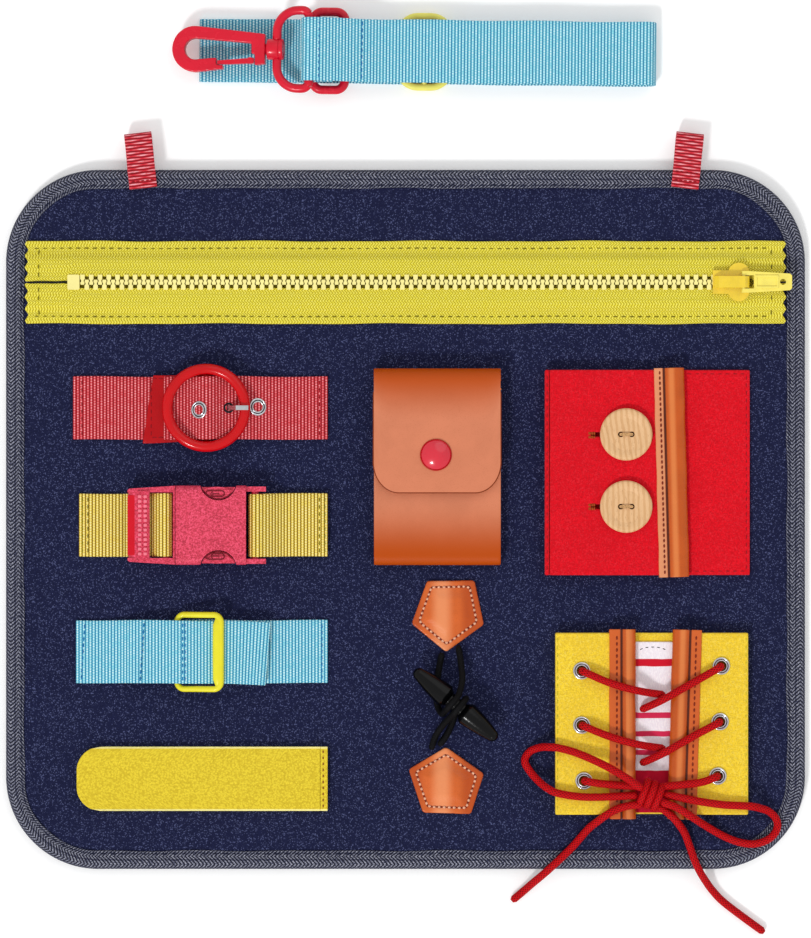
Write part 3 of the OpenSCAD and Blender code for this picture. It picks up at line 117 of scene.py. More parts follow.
class Finish:
    """A material and short ways to build its pattern."""

    def __init__(self, name, colour, rough=0.8, spec=0.3, metal=0.0, sheen=0.0, coat=0.0):
        self.mat = bpy.data.materials.new(name)
        self.mat.use_nodes = True
        self.tree = self.mat.node_tree
        self.skin = self.tree.nodes["Principled BSDF"]
        self.colour = colour
        self.set("Base Color", colour)
        self.set("Roughness", rough)
        self.set("Specular IOR Level", spec)
        self.set("Metallic", metal)
        if sheen:
            self.set("Sheen Weight", sheen)
            self.set("Sheen Roughness", 0.6)
        if coat:
            self.set("Coat Weight", coat)
            self.set("Coat Roughness", 0.12)

    def set(self, socket, value):
        self.skin.inputs[socket].default_value = value

    def node(self, kind, *values, **traits):
        """A node whose inputs are, in turn, sockets to link, values to set or None to leave."""
        made = self.tree.nodes.new("ShaderNode" + kind)
        for trait, value in traits.items():
            setattr(made, trait, value)
        for spot, value in zip(made.inputs, values):
            self.feed(spot, value)
        return made

    def feed(self, spot, value):
        if isinstance(value, bpy.types.NodeSocket):
            self.tree.links.new(value, spot)
        elif value is not None:
            spot.default_value = value

    def sums(self, work, a, b=None):
        return self.node("Math", a, b, operation=work).outputs[0]

    def mul(self, a, b):
        return self.sums("MULTIPLY", a, b)

    def add(self, a, b):
        return self.sums("ADD", a, b)

    def vary(self, value, low, high, colour, dark, light):
        """A colour made darker where value is low and lighter where it is high, by two factors."""
        return self.blend(self.ramp(value, low, high), times(colour, dark), times(colour, light))

    def place(self, by="Object", scale=(1, 1, 1), turn=0.0):
        """Where a pattern lies: the piece's own space in metres, or along its cloth."""
        spot = self.node("TexCoord").outputs[by]
        return self.node("Mapping", spot, (0, 0, 0), (0, 0, turn), scale).outputs[0]

    def grain(self, spot, size, detail=3, rough=0.6):
        """Noise with features of size millimetres."""
        made = self.node("TexNoise")
        self.feed(made.inputs["Vector"], spot)
        for socket, value in (("Scale", 1000 / size), ("Detail", detail), ("Roughness", rough)):
            made.inputs[socket].default_value = value
        return made.outputs["Fac"]

    def cells(self, spot, size, feature="F1", out="Distance"):
        made = self.node("TexVoronoi", feature=feature)
        self.feed(made.inputs["Vector"], spot)
        made.inputs["Scale"].default_value = 1000 / size
        return made.outputs[out]

    def ramp(self, value, low, high, to_low=0.0, to_high=1.0):
        made = self.node("MapRange", value, low, high, to_low, to_high, interpolation_type="SMOOTHSTEP")
        return made.outputs[0]

    def blend(self, share, first, second, kind="MIX"):
        made = self.node("Mix", data_type="RGBA", blend_type=kind)
        self.feed(made.inputs["Factor"], share)
        self.feed(made.inputs[6], first)
        self.feed(made.inputs[7], second)
        return made.outputs[2]

    def weave(self, spot, along, across, slant):
        """Yarns in slanted rows that turn back at every column, from 0 between yarns to 1 on them."""
        split = self.node("SeparateXYZ", spot)
        column = self.sums("DIVIDE", split.outputs[1], across * 0.001)
        shift = self.mul(self.sums("PINGPONG", column, 1.0), slant)
        row = self.add(self.sums("DIVIDE", split.outputs[0], along * 0.001), shift)
        yarn = self.mul(self.sums("PINGPONG", row, 0.5), 2.0)
        groove = self.mul(self.sums("PINGPONG", self.add(column, 0.5), 0.5), 2.0)
        side = self.ramp(groove, 0.0, 0.35, 0.55, 1.0)
        return self.mul(self.ramp(yarn, 0.0, 0.8), side)

    def ribs(self, spot, along, across):
        """Straight ribs across a strap, each a row of yarns set half a step from the row before it."""
        split = self.node("SeparateXYZ", spot)
        row = self.sums("DIVIDE", split.outputs[0], along * 0.001)
        rib = self.mul(self.sums("PINGPONG", row, 0.5), 2.0)
        step = self.mul(self.sums("FLOOR", row), 0.5)
        dot = self.sums("PINGPONG", self.add(self.sums("DIVIDE", split.outputs[1], across * 0.001), step), 0.5)
        return self.mul(rib, self.add(self.mul(dot, 1.1), 0.45))

    def relief(self, height, depth, strength=1.0):
        """Bump of depth millimetres."""
        made = self.node("Bump")
        made.inputs["Strength"].default_value = strength
        made.inputs["Distance"].default_value = depth * 0.001
        self.feed(made.inputs["Height"], height)
        self.feed(self.skin.inputs["Normal"], made.outputs[0])

    def paint(self, colour):
        self.feed(self.skin.inputs["Base Color"], colour)

    def gloss(self, value):
        self.feed(self.skin.inputs["Roughness"], value)


def times(colour, factor):
    return tuple(min(1.0, part * factor) for part in colour[:3]) + (1.0,)


def lay_table():
    """A plain white table top that shows as white to the eye and in reflections."""
    bpy.ops.mesh.primitive_circle_add(vertices=96, radius=6, fill_type="NGON", location=(0, 0, 0))
    table = bpy.context.object
    table.name = "table_top"
    table.location.z = -0.00005
    white = Finish("table_white", (0.9, 0.9, 0.9, 1), 0.9, 0.1)
    glow = white.node("Emission", (1, 1, 1, 1), 0.17).outputs[0]
    both = white.node("AddShader", white.skin.outputs[0], glow).outputs[0]
    camera_ray = white.node("LightPath").outputs["Is Camera Ray"]
    seen = white.node("MixShader", camera_ray, white.skin.outputs[0], both).outputs[0]
    white.feed(white.tree.nodes["Material Output"].inputs["Surface"], seen)
    table.data.materials.append(white.mat)


lay_table()

# ---- Cloth, leather, plastic and metal ----


def felt(name, colour, fleck, share=0.5, cover=0.2, size=0.62):
    """Pressed wool: short fibres lying every way, with a sprinkle of pale ones."""
    f = Finish(name, colour, rough=0.95, spec=0.1, sheen=0.04)
    spot = f.place()
    cloud = f.grain(spot, 14, 3, 0.6)
    fibre_a = f.grain(f.place(scale=(1, 0.4, 1), turn=0.6), 0.6, 3, 0.75)
    fibre_b = f.grain(f.place(scale=(0.4, 1, 1), turn=-0.3), 0.55, 3, 0.75)
    fibre = f.sums("MAXIMUM", fibre_a, fibre_b)
    pale = f.node("SeparateColor", f.cells(spot, size, out="Color")).outputs[0]
    body = f.vary(cloud, 0.3, 0.7, colour, 0.94, 1.06)
    body = f.blend(f.ramp(fibre, 0.45, 0.62), times(colour, 0.78), body)
    f.paint(f.blend(f.ramp(pale, 1 - cover * 1.6, 1 - cover * 0.3, 0, share), body, fleck))
    f.relief(f.add(fibre, f.mul(pale, 0.35)), 0.4, 0.8)
    return f


def webbing(name, colour, dark, pale, along=1.25, across=1.6, slant=0.6, share=0.45):
    """Woven tape: slanted yarns in columns, with painted shade between them and a painted highlight on their tops."""
    f = Finish(name, colour, rough=0.75, spec=0.2, sheen=0.04)
    spot = f.place("UV")
    yarn = f.weave(spot, along, across, slant)
    # Painted shade between the yarns, and a painted highlight on their tops broken up by this noise.
    highlight_noise = f.grain(f.place("UV", scale=(1, 2, 1)), 0.7, 3, 0.7)
    body = f.blend(f.ramp(yarn, 0.1, 0.6), dark, colour)
    f.paint(f.blend(f.mul(f.ramp(highlight_noise, 0.42, 0.62, 0, share), f.ramp(yarn, 0.45, 0.85)), body, pale))
    f.relief(yarn, 0.26, 0.9)
    return f


def ribbed(name, colour, dark, pale, along=1.3, across=1.0, share=0.7):
    """Heavy woven strap: straight ribs across it, with painted shade between them and a painted highlight along their
    tops.
    """
    f = Finish(name, colour, rough=0.72, spec=0.22, sheen=0.04)
    spot = f.place("UV")
    rib = f.ribs(spot, along, across)
    # Painted shade between the ribs, and a painted highlight along their tops broken up by this noise.
    highlight_noise = f.grain(f.place("UV", scale=(1, 0.5, 1)), 1.4, 4, 0.75)
    body = f.blend(f.ramp(rib, 0.06, 0.42), dark, colour)
    f.paint(f.blend(f.mul(f.ramp(highlight_noise, 0.34, 0.6, 0.25, 1), f.ramp(rib, 0.42, 0.75, 0, share)), body, pale))
    f.relief(rib, 0.35, 0.9)
    return f


def leather(name, colour, dark, pores=0.55, depth=0.06, rough=0.42, coat=0.0, tone=0.05, by="Object"):
    """Smooth coated leather with fine pores and the faintest clouding."""
    f = Finish(name, colour, rough=rough, spec=0.18, coat=coat)
    spot = f.place(by)
    pebble = f.cells(spot, pores)
    cloud = f.grain(spot, 16, 3, 0.6)
    f.body = f.vary(cloud, 0.3, 0.7, colour, 1 - tone, 1 + tone)
    f.body = f.blend(f.ramp(pebble, 0.0, 0.4, 0.25, 0), f.body, dark)
    f.paint(f.body)
    f.gloss(f.ramp(cloud, 0.3, 0.7, rough * 0.85, rough * 1.25))
    f.relief(pebble, depth, 0.7)
    return f


def plastic(name, colour, rough=0.42, coat=0.0, pebble=0.3, depth=0.03, fleck=0.0, spec=0.22):
    """Moulded plastic with a fine spark-eroded texture; where fleck is given, painted shade specks and painted glints
    stand in for that texture's sparkle.
    """
    f = Finish(name, colour, rough=rough, spec=spec, coat=coat)
    spot = f.place()
    cloud = f.grain(spot, 8, 3, 0.6)
    skin = f.grain(spot, pebble, 2, 0.6)
    speck = f.grain(spot, 0.7, 3, 0.8)
    body = f.vary(cloud, 0.25, 0.75, colour, 0.95, 1.05)
    # Painted shade specks and painted glints standing in for the sparkle of the spark-eroded surface.
    if fleck:
        body = f.blend(f.ramp(speck, 0.4, 0.5, fleck, 0), body, times(colour, 0.4))
        body = f.blend(f.ramp(speck, 0.5, 0.6, 0, fleck), body, times(colour, 2.6))
    f.paint(body)
    f.gloss(f.ramp(cloud, 0.3, 0.7, rough * 0.85, min(1.0, rough * 1.2)))
    f.relief(f.add(skin, speck), depth, 0.7)
    return f


def metal(name, colour, rough=0.3, paint=False):
    """Bare or lacquered metal with hairline scratches."""
    f = Finish(name, colour, rough=rough, spec=0.5, metal=0.0 if paint else 1.0, coat=0.6 if paint else 0.0)
    line = f.grain(f.place(scale=(1, 0.12, 1), turn=0.5), 0.3, 3, 0.8)
    cloud = f.grain(f.place(), 4, 3, 0.6)
    body = f.vary(cloud, 0.25, 0.75, colour, 0.9, 1.05)
    f.paint(f.blend(f.ramp(line, 0.55, 0.8, 0, 0.25), body, times(colour, 0.6)))
    f.gloss(f.ramp(line, 0.35, 0.7, rough * 0.7, min(1.0, rough * 1.6)))
    f.relief(line, 0.015, 0.6)
    return f


def thread(name, colour):
    """Twisted sewing thread."""
    f = Finish(name, colour, rough=0.7, spec=0.2)
    twist = f.grain(f.place(scale=(1, 1, 0.4), turn=0.7), 0.35, 2, 0.7)
    f.paint(f.vary(twist, 0.35, 0.65, colour, 0.6, 1.25))
    f.relief(twist, 0.08, 0.8)
    return f


# ---- Making pieces ----

MM = 0.001
CREASE = radians(55)


def only(piece):
    """Leaves one piece selected and active."""
    bpy.ops.object.select_all(action="DESELECT")
    piece.select_set(True)
    bpy.context.view_layer.objects.active = piece


def face_out(piece, merge=0.0):
    """Turns every face outwards, after merging points closer than merge millimetres."""
    only(piece)
    bpy.ops.object.mode_set(mode="EDIT")
    bpy.ops.mesh.select_all(action="SELECT")
    if merge:
        bpy.ops.mesh.remove_doubles(threshold=merge * MM)
    bpy.ops.mesh.normals_make_consistent(inside=False)
    bpy.ops.object.mode_set(mode="OBJECT")


def smooth_all(piece):
    for face in piece.data.polygons:
        face.use_smooth = True
    return piece


def modify(piece, kind, **traits):
    """Adds a modifier and sets its traits."""
    made = piece.modifiers.new(kind.lower(), kind)
    for trait, value in traits.items():
        setattr(made, trait, value)


def shift(piece, x=0, y=0, z=0, turn=0):
    """Turns a piece's mesh about z in degrees, then moves it in millimetres."""
    if turn:
        piece.data.transform(Matrix.Rotation(radians(turn), 4, "Z"))
    piece.data.transform(Matrix.Translation((x * MM, y * MM, z * MM)))
    return piece


def dress(piece, finish):
    piece.data.materials.clear()
    piece.data.materials.append(finish.mat)


def hand_in(piece, name, finish, body, slot, *stands_for):
    """Names a finished piece, gives it its finish and body, and hides the CAD nodes it stands for."""
    piece.name = name
    piece.data.name = name
    dress(piece, finish)
    if body in frame["bodies"]:
        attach(piece, body)
    if stands_for:
        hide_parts(*stands_for)
    return piece


def apply_all(piece):
    only(piece)
    for made in list(piece.modifiers):
        bpy.ops.object.modifier_apply(modifier=made.name)


def smooth(piece, angle=50):
    only(piece)
    bpy.ops.object.shade_smooth_by_angle(angle=radians(angle))


def settle(piece):
    """Puts a piece's place into its mesh."""
    only(piece)
    bpy.ops.object.transform_apply(location=True, rotation=True, scale=True)


def ease(points, rounds=2):
    """Softens the corners of a route and keeps its ends."""
    points = [Vector(p) for p in points]
    for _ in range(rounds):
        cut = [points[0]]
        for a, b in zip(points, points[1:]):
            cut += [a.lerp(b, 0.25), a.lerp(b, 0.75)]
        cut.append(points[-1])
        points = cut
    return points


def curve_through(points, step):
    """A smooth line through the points, Catmull-Rom, with a point about every step millimetres."""
    points = [Vector(p) for p in points]
    ends = [2 * points[0] - points[1]] + points + [2 * points[-1] - points[-2]]
    line = []
    for a, b, c, d in zip(ends, ends[1:], ends[2:], ends[3:]):
        count = max(2, round((c - b).length / step))
        for i in range(count):
            t = i / count
            line.append(
                0.5 * (2 * b + (c - a) * t + (2 * a - 5 * b + 4 * c - d) * t * t + (3 * b - a - 3 * c + d) * t ** 3)
            )
    line.append(points[-1])
    return line


def spread(points, step):
    """The same line with evenly spaced points."""
    points = [Vector(p) for p in points]
    total = sum((b - a).length for a, b in zip(points, points[1:]))
    count = max(2, round(total / step))
    line, run, at = [points[0]], 0.0, 1
    gap = total / count
    for a, b in zip(points, points[1:]):
        length = (b - a).length
        while at < count and run + length >= gap * at - 1e-9:
            line.append(a.lerp(b, (gap * at - run) / length))
            at += 1
        run += length
    line.append(points[-1])
    return line, total


def bend_grid(along, across, place, length, width):
    """A flat grid whose every point is moved to place(u, v), in millimetres, with its pattern laid in metres."""
    bpy.ops.mesh.primitive_grid_add(x_subdivisions=along, y_subdivisions=across, size=1, calc_uvs=True)
    piece = bpy.context.object
    for vertex in piece.data.vertices:
        vertex.co = Vector(place(vertex.co.x + 0.5, vertex.co.y + 0.5)) * MM
    for loop in piece.data.uv_layers.active.data:
        loop.uv = (loop.uv[0] * length * MM, loop.uv[1] * width * MM)
    return piece


def thicken(piece, thick, offset=0, soft=0.3, segments=2):
    modify(piece, "SOLIDIFY", thickness=thick * MM, offset=offset)
    if soft:
        modify(piece, "BEVEL", width=soft * MM, segments=segments, limit_method="ANGLE", angle_limit=CREASE)
    apply_all(piece)
    smooth(piece)
    return piece


def lay_strap(route, y, width, thick, turn=0.0, wave=0.12, seed=1):
    """A woven strap along a route of [x, z] in millimetres, centred on y, turned in degrees about the origin.

    A flat grid is laid along the route, waved a little, thickened and rounded at its edges.
    """
    line, total = spread([(x, 0, z) for x, z, _ in ease([(p[0], p[1], 0) for p in route])], 1.5)
    last = len(line) - 1
    dice = random.Random(seed)
    phases = [dice.uniform(0, 6.28) for _ in range(4)]

    def place(u, v):
        i = round(u * last)
        v = 2 * v - 1
        way = (line[min(last, i + 1)] - line[max(0, i - 1)]).normalized()
        s = total * i / last
        lift = wave * (sin(s / 9 + phases[0]) * 0.5 + v * sin(s / 13 + phases[1]) * 0.5)
        edge = 0.18 * sin(s / 7 + phases[2]) * (1 if v > 0 else 0.6) * abs(v)
        return line[i] + Vector((-way.z, 0, way.x)) * lift + Vector((0, v * width / 2 + edge, 0))

    piece = thicken(bend_grid(last, 8, place, total, width), thick, 0, thick * 0.3)
    shift(piece, y=y)
    return shift(piece, turn=turn)


def rope(points, radius, step=1.4, sides=10, squash=1.0, ends=0.5):
    """A round cord along points in millimetres, its ends rounded over, with its pattern laid along it."""
    line, total = spread(curve_through(points, 1.0), step)
    spots = []
    count = len(line)
    up = None
    for i, spot in enumerate(line):
        way = (line[min(count - 1, i + 1)] - line[max(0, i - 1)]).normalized()
        if up is None:
            up = way.orthogonal().normalized()
            up = (Vector((0, 0, 1)) - way * way.z).normalized() if abs(way.z) < 0.9 else up
        up = (up - way * up.dot(way)).normalized()
        side = way.cross(up)
        near = min(i, count - 1 - i) * total / (count - 1)
        grow = 1.0 if near > radius * ends else 0.55 + 0.45 * near / max(0.01, radius * ends)
        for k in range(sides):
            angle = 2 * pi * k / sides
            spots.append(spot + (side * cos(angle) + up * sin(angle) * squash) * radius * grow)
    faces = []
    for i in range(count - 1):
        for k in range(sides):
            m = (k + 1) % sides
            faces.append((i * sides + k, i * sides + m, (i + 1) * sides + m, (i + 1) * sides + k))
    faces.append(tuple(range(sides))[::-1])
    faces.append(tuple((count - 1) * sides + k for k in range(sides)))
    mesh = bpy.data.meshes.new("rope")
    mesh.from_pydata([s * MM for s in spots], [], faces)
    cloth = mesh.uv_layers.new(name="UVMap")
    for face in mesh.polygons:
        first = face.index // sides
        for n, loop in enumerate(face.loop_indices):
            if len(face.vertices) == 4 and face.index < (count - 1) * sides:
                k = face.index % sides
                u = first + (1 if n in (2, 3) else 0)
                v = k + (1 if n in (1, 2) else 0)
                cloth.data[loop].uv = (u * total / (count - 1) * MM, v / sides * 2 * pi * radius * MM)
    piece = bpy.data.objects.new("rope", mesh)
    bpy.context.scene.collection.objects.link(piece)
    face_out(piece)
    smooth(piece, 70)
    return piece, [list(s * MM) for s in line], total * MM


def take_copy(node):
    """A copy of a CAD node's mesh, merged, with flat faces made whole."""
    piece = nodes[node].copy()
    piece.data = nodes[node].data.copy()
    bpy.context.scene.collection.objects.link(piece)
    piece.parent = None
    piece.matrix_world = Matrix.Identity(4)
    only(piece)
    bpy.ops.object.mode_set(mode="EDIT")
    bpy.ops.mesh.select_all(action="SELECT")
    bpy.ops.mesh.remove_doubles(threshold=0.00001)
    bpy.ops.mesh.dissolve_limited(angle_limit=radians(1))
    bpy.ops.object.mode_set(mode="OBJECT")
    return piece


def soften(node, voxel=0.55, amount=0.15, size=9, seed=0, rounds=3):
    """A cloth or leather piece from its plain solid: edges rounded over and faces a little uneven."""
    piece = take_copy(node)
    modify(piece, "REMESH", mode="VOXEL", voxel_size=voxel * MM)
    modify(piece, "SMOOTH", iterations=rounds)
    apply_all(piece)
    dice = random.Random(seed)
    ways = [(dice.uniform(-1, 1), dice.uniform(-1, 1), dice.uniform(0, 6.28)) for _ in range(5)]
    for vertex in piece.data.vertices:
        x, y = vertex.co.x / MM / size, vertex.co.y / MM / size
        lift = sum(sin(a * x + b * y + c) for a, b, c in ways) / 5
        vertex.co.z += lift * amount * MM
    return smooth_all(piece)


def join(pieces):
    only(pieces[0])
    for piece in pieces:
        piece.select_set(True)
    if len(pieces) > 1:
        bpy.ops.object.join()
    return bpy.context.object


def sew(lines, length=2.2, gap=1.0, radius=0.32, sink=0.3):
    """One piece of stitches along lines of points in millimetres, each stitch a copy of one bead of thread."""
    bpy.ops.mesh.primitive_uv_sphere_add(segments=6, ring_count=4, radius=1)
    bead = bpy.context.object
    bead.data.transform(Matrix.Scale(length / 2 * MM, 4, (1, 0, 0)) @ Matrix.Scale(radius * MM, 4, (0, 1, 0))
                        @ Matrix.Scale(radius * 0.8 * MM, 4, (0, 0, 1)) @ Matrix.Rotation(pi / 2, 4, "Y"))
    stitches = [bead]
    start = bead.data.copy()
    first = True
    for line in lines:
        spots, _ = spread(line, length + gap)
        for a, b in zip(spots, spots[1:]):
            way = (b - a).normalized()
            side = Vector((0, 0, 1)).cross(way)
            side = side.normalized() if side.length > 0.01 else Vector((1, 0, 0))
            up = way.cross(side)
            turn = Matrix((way, side, up)).transposed().to_4x4()
            place = Matrix.Translation((a.lerp(b, 0.5) - up * radius * sink) * MM) @ turn
            if first:
                bead.data.transform(place)
                first = False
                continue
            stitch = bpy.data.objects.new("stitch", start.copy())
            stitch.data.transform(place)
            bpy.context.scene.collection.objects.link(stitch)
            stitches.append(stitch)
    piece = join(stitches)
    return smooth_all(piece)


# ---- Finishes of this board ----

WHITE = shade(240, 238, 232)
navy_felt = felt("navy_felt", shade(24, 28, 62), shade(104, 112, 158), 0.5, 0.13, 0.36)
red_felt = felt("red_felt", shade(228, 14, 32), shade(250, 60, 74), 0.25, 0.2, 0.44)
yellow_felt = felt("yellow_felt", shade(255, 214, 56), shade(255, 236, 130), 0.25, 0.2, 0.44)
twill = webbing("binding_twill", shade(36, 40, 70), shade(8, 9, 24), shade(222, 224, 238), 1.5, 3.6, 2.0, 0.55)
zip_cloth = webbing("zip_cloth", shade(240, 226, 56), shade(186, 166, 26), shade(252, 246, 150), 1.15, 1.3, 1.0, 0.6)
red_web = ribbed("red_webbing", shade(214, 44, 56), shade(126, 8, 22), shade(255, 184, 188), 1.35, 1.05, 0.95)
yellow_web = ribbed("yellow_webbing", shade(244, 214, 78), shade(112, 78, 16), shade(255, 250, 196), 1.35, 1.05, 0.9)
blue_web = ribbed("blue_webbing", shade(122, 214, 230), shade(28, 112, 160), shade(244, 254, 255), 1.3, 1.05, 1.0)
ribbon = ribbed("red_ribbon", shade(214, 28, 48), shade(120, 4, 18), shade(250, 190, 198), 1.25, 9.0, 0.9)
slider_gold = metal("slider_lacquer", shade(240, 206, 40), 0.32, paint=True)
pull_yellow = metal("pull_lacquer", shade(246, 228, 96), 0.38, paint=True)
ring_red = plastic("ring_enamel", shade(200, 2, 12), 0.22, coat=0.35, spec=0.12)
steel = metal("nickel", shade(214, 216, 220), 0.22)
# A dark steel finish that paints the shade in eyelet grooves and holes.
shade_steel = metal("nickel_painted_shade", shade(40, 40, 44), 0.35)
tab_leather = leather("red_tab_leather", shade(176, 4, 14), shade(96, 2, 8), rough=0.3)
tan_leather = leather("tan_leather", shade(209, 126, 92), shade(160, 76, 34), 0.5, 0.04)
# The fleck share here paints glints and shade specks over the clip.
clip_plastic = plastic("clip_nylon", shade(214, 62, 86), 0.36, fleck=0.6)
# Painted shade for the moulded marks on the clip's arms.
clip_mark_shade = plastic("clip_mark_shade", shade(112, 8, 26), 0.4)
# Deeper red painted shade for the plug's sloped outer bar.
shaded_clip_bar = plastic("clip_bar", shade(206, 8, 32), 0.3)
# Paler red painted highlight for the tops of the plug's knurls.
highlit_clip_knurl = plastic("clip_knurl_painted_highlight", shade(240, 120, 138), 0.36)
pale_lime = plastic("pale_lime_nylon", shade(240, 232, 112), 0.34)
lime_plastic = plastic("lime_nylon", shade(230, 220, 40), 0.34, coat=0.2)
hook_plastic = plastic("hook_acetal", shade(212, 14, 44), 0.26, coat=0.25)
horn = plastic("black_horn", shade(3, 3, 4), 0.2, coat=0.25, spec=0.08)
snap_enamel = plastic("snap_enamel", shade(214, 24, 50), 0.3, coat=1.0)
tooth_nylon = plastic("tooth_nylon", shade(246, 234, 150), 0.4)
core_board = plastic("core_board", shade(214, 212, 206), 0.7)
rust_thread = thread("rust_thread", shade(128, 40, 22))
pale_thread = thread("peach_thread", shade(240, 176, 144))
olive_thread = thread("olive_thread", shade(128, 118, 22))
lemon_thread = thread("lemon_thread", shade(200, 186, 40))
navy_thread = thread("navy_thread", shade(24, 28, 54))
red_thread = thread("red_thread", shade(150, 12, 26))
sky_thread = thread("sky_thread", shade(30, 118, 176))
black_thread = thread("black_thread", shade(16, 16, 20))
bartack_thread = thread("bartack_thread", shade(170, 74, 24))
# A dark finish for the cord that paints the shade along the pouch flap's edge.
flap_edge_shade = plastic("flap_edge_painted_shade", shade(132, 54, 14), 0.4)
cream_thread = thread("cream_thread", shade(196, 150, 100))


def paint_shade_at_ends(f, low_end, high_end, dark):
    """Paints shade into a finish towards two ends of the piece, each given as (from, to) in millimetres of y."""
    y = f.node("SeparateXYZ", f.place()).outputs[1]
    body = f.body
    for full, none in (low_end, high_end):
        lo, hi = min(full, none), max(full, none)
        share = f.ramp(y, lo * 0.001, hi * 0.001, 1.0 if full < none else 0.0, 0.0 if full < none else 1.0)
        body = f.blend(share, body, dark)
    f.paint(body)


# Painted shade deepening the pouch's leather towards its rounded top and bottom folds.
paint_shade_at_ends(tan_leather, (-14.5, 8.0), (58.5, 38.0), shade(182, 72, 0))


def flap_tan_leather():
    """The pouch's leather on its flap, with painted shade deepening towards the fold, by the distance along the sheet.
    """
    f = leather("flap_tan_leather", shade(209, 126, 92), shade(160, 76, 34), 0.5, 0.04, by="UV")
    run = f.node("SeparateXYZ", f.place("UV")).outputs[0]
    # Painted shade towards the fold.
    f.paint(f.blend(f.ramp(run, 0.009, 0.03, 1, 0), f.body, shade(182, 72, 0)))
    return f


flap_tan = flap_tan_leather()


def folded_leather(name, flange):
    """Leather folded over an edge: a sewn flange, painted shade in the crease at v = 0, then a roll with a painted
    highlight band.
    """
    f = leather(name, shade(192, 84, 24), shade(120, 46, 10), 0.5, 0.04, 0.26, 0.25, 0.08)
    v = f.node("SeparateXYZ", f.place("UV")).outputs[1]
    # A painted highlight along the roll.
    roll_highlight = f.mul(f.ramp(v, 0.001, 0.0026), f.ramp(v, 0.0032, 0.0048, 0.6, 0))
    body = f.blend(roll_highlight, f.body, shade(232, 140, 76))
    body = f.blend(f.ramp(v, -0.0008, -0.0004, 1, 0), body, flange)
    # Painted shade in the crease between flange and roll.
    crease_shade = f.mul(f.ramp(v, -0.0007, -0.0003), f.ramp(v, 0.0002, 0.0007, 1, 0))
    f.paint(f.blend(crease_shade, body, shade(84, 28, 8)))
    return f


def highlit_patch_leather():
    """Leather pulled over a padded tab, with a painted highlight along its middle and painted shade deepening towards
    its edges.
    """
    f = leather("patch_leather", shade(204, 96, 38), shade(120, 46, 10), 0.6, 0.05, 0.28, 0.2, 0.1)
    x = f.node("SeparateXYZ", f.place()).outputs[0]
    far = f.sums("ABSOLUTE", f.sums("SUBTRACT", x, 0.0145))
    # Painted highlight along the middle, then painted shade towards the edges.
    body = f.blend(f.ramp(far, 0.0008, 0.0056, 0.75, 0), f.body, shade(236, 150, 100))
    f.paint(f.blend(f.ramp(far, 0.006, 0.0105), body, shade(184, 76, 22)))
    return f


flap_leather = folded_leather("flap_leather", shade(222, 144, 100))
lacing_leather = folded_leather("lacing_leather", shade(204, 94, 36))
patch_leather = highlit_patch_leather()


def braid(name, colour, dark, pale, along, across):
    """A round braided cord: strands crossing in a small diamond pattern, with painted shade between the strands."""
    f = Finish(name, colour, rough=0.6, spec=0.1)
    spot = f.place("UV")
    split = f.node("SeparateXYZ", spot)
    u = f.sums("DIVIDE", split.outputs[0], along * 0.001)
    v = f.sums("DIVIDE", split.outputs[1], across * 0.001)
    one = f.sums("PINGPONG", f.add(u, v), 0.5)
    two = f.sums("PINGPONG", f.sums("SUBTRACT", u, v), 0.5)
    height = f.sums("MAXIMUM", one, two)
    fuzz = f.grain(spot, 0.5, 3, 0.7)
    # Painted shade between the strands.
    body = f.blend(f.ramp(height, 0.18, 0.46), dark, colour)
    f.paint(f.blend(f.ramp(fuzz, 0.5, 0.75, 0, 0.4), body, pale))
    f.relief(height, 0.35, 0.8)
    return f


lace_braid = braid("lace_braid", shade(206, 2, 14), shade(112, 0, 4), shade(240, 60, 66), 1.5, 1.25)
cord_braid = braid("black_braid", shade(12, 12, 14), shade(3, 3, 4), shade(44, 44, 50), 1.1, 1.0)


def loop_nap(name, colour, dark, pale):
    """Brushed loop tape: a dense even nap with a pale woven rim."""
    f = Finish(name, colour, rough=0.85, spec=0.15, sheen=0.04)
    spot = f.place("UV")
    nap = f.cells(spot, 0.8)
    speck = f.grain(spot, 0.9, 3, 0.75)
    split = f.node("SeparateXYZ", spot)
    far = f.sums("ABSOLUTE", f.sums("SUBTRACT", split.outputs[1], 0.0128))
    body = f.vary(speck, 0.35, 0.65, colour, 0.9, 1.08)
    body = f.blend(f.ramp(nap, 0.3, 0.75, 0, 0.45), body, dark)
    f.paint(f.blend(f.ramp(far, 0.0119, 0.0123), body, pale))
    f.relief(f.sums("SUBTRACT", speck, nap), 0.3, 0.8)
    return f


loop_tape = loop_nap("loop_tape", shade(234, 208, 54), shade(180, 148, 20), shade(252, 240, 150))


def grained_wood():
    """Pale turned wood: rings about a heart beside the button, fine pores, a scorched pattern of rings."""
    f = Finish("button_wood", shade(228, 194, 142), rough=0.5, spec=0.35)
    rings = f.node("TexWave", f.place(scale=(1, 0.55, 0.4), turn=0.5), wave_type="RINGS", rings_direction="Z")
    for socket, value in (("Scale", 150), ("Distortion", 3.5), ("Detail", 2), ("Detail Scale", 1.6)):
        rings.inputs[socket].default_value = value
    pore = f.grain(f.place(scale=(1, 0.15, 1), turn=0.35), 0.35, 3, 0.7)
    body = f.blend(f.ramp(rings.outputs["Fac"], 0.3, 0.9), shade(226, 182, 134), shade(212, 164, 114))
    f.paint(f.blend(f.ramp(pore, 0.56, 0.72, 0, 0.6), body, shade(160, 112, 66)))
    f.relief(pore, 0.04, 0.6)
    return f


button_wood = grained_wood()


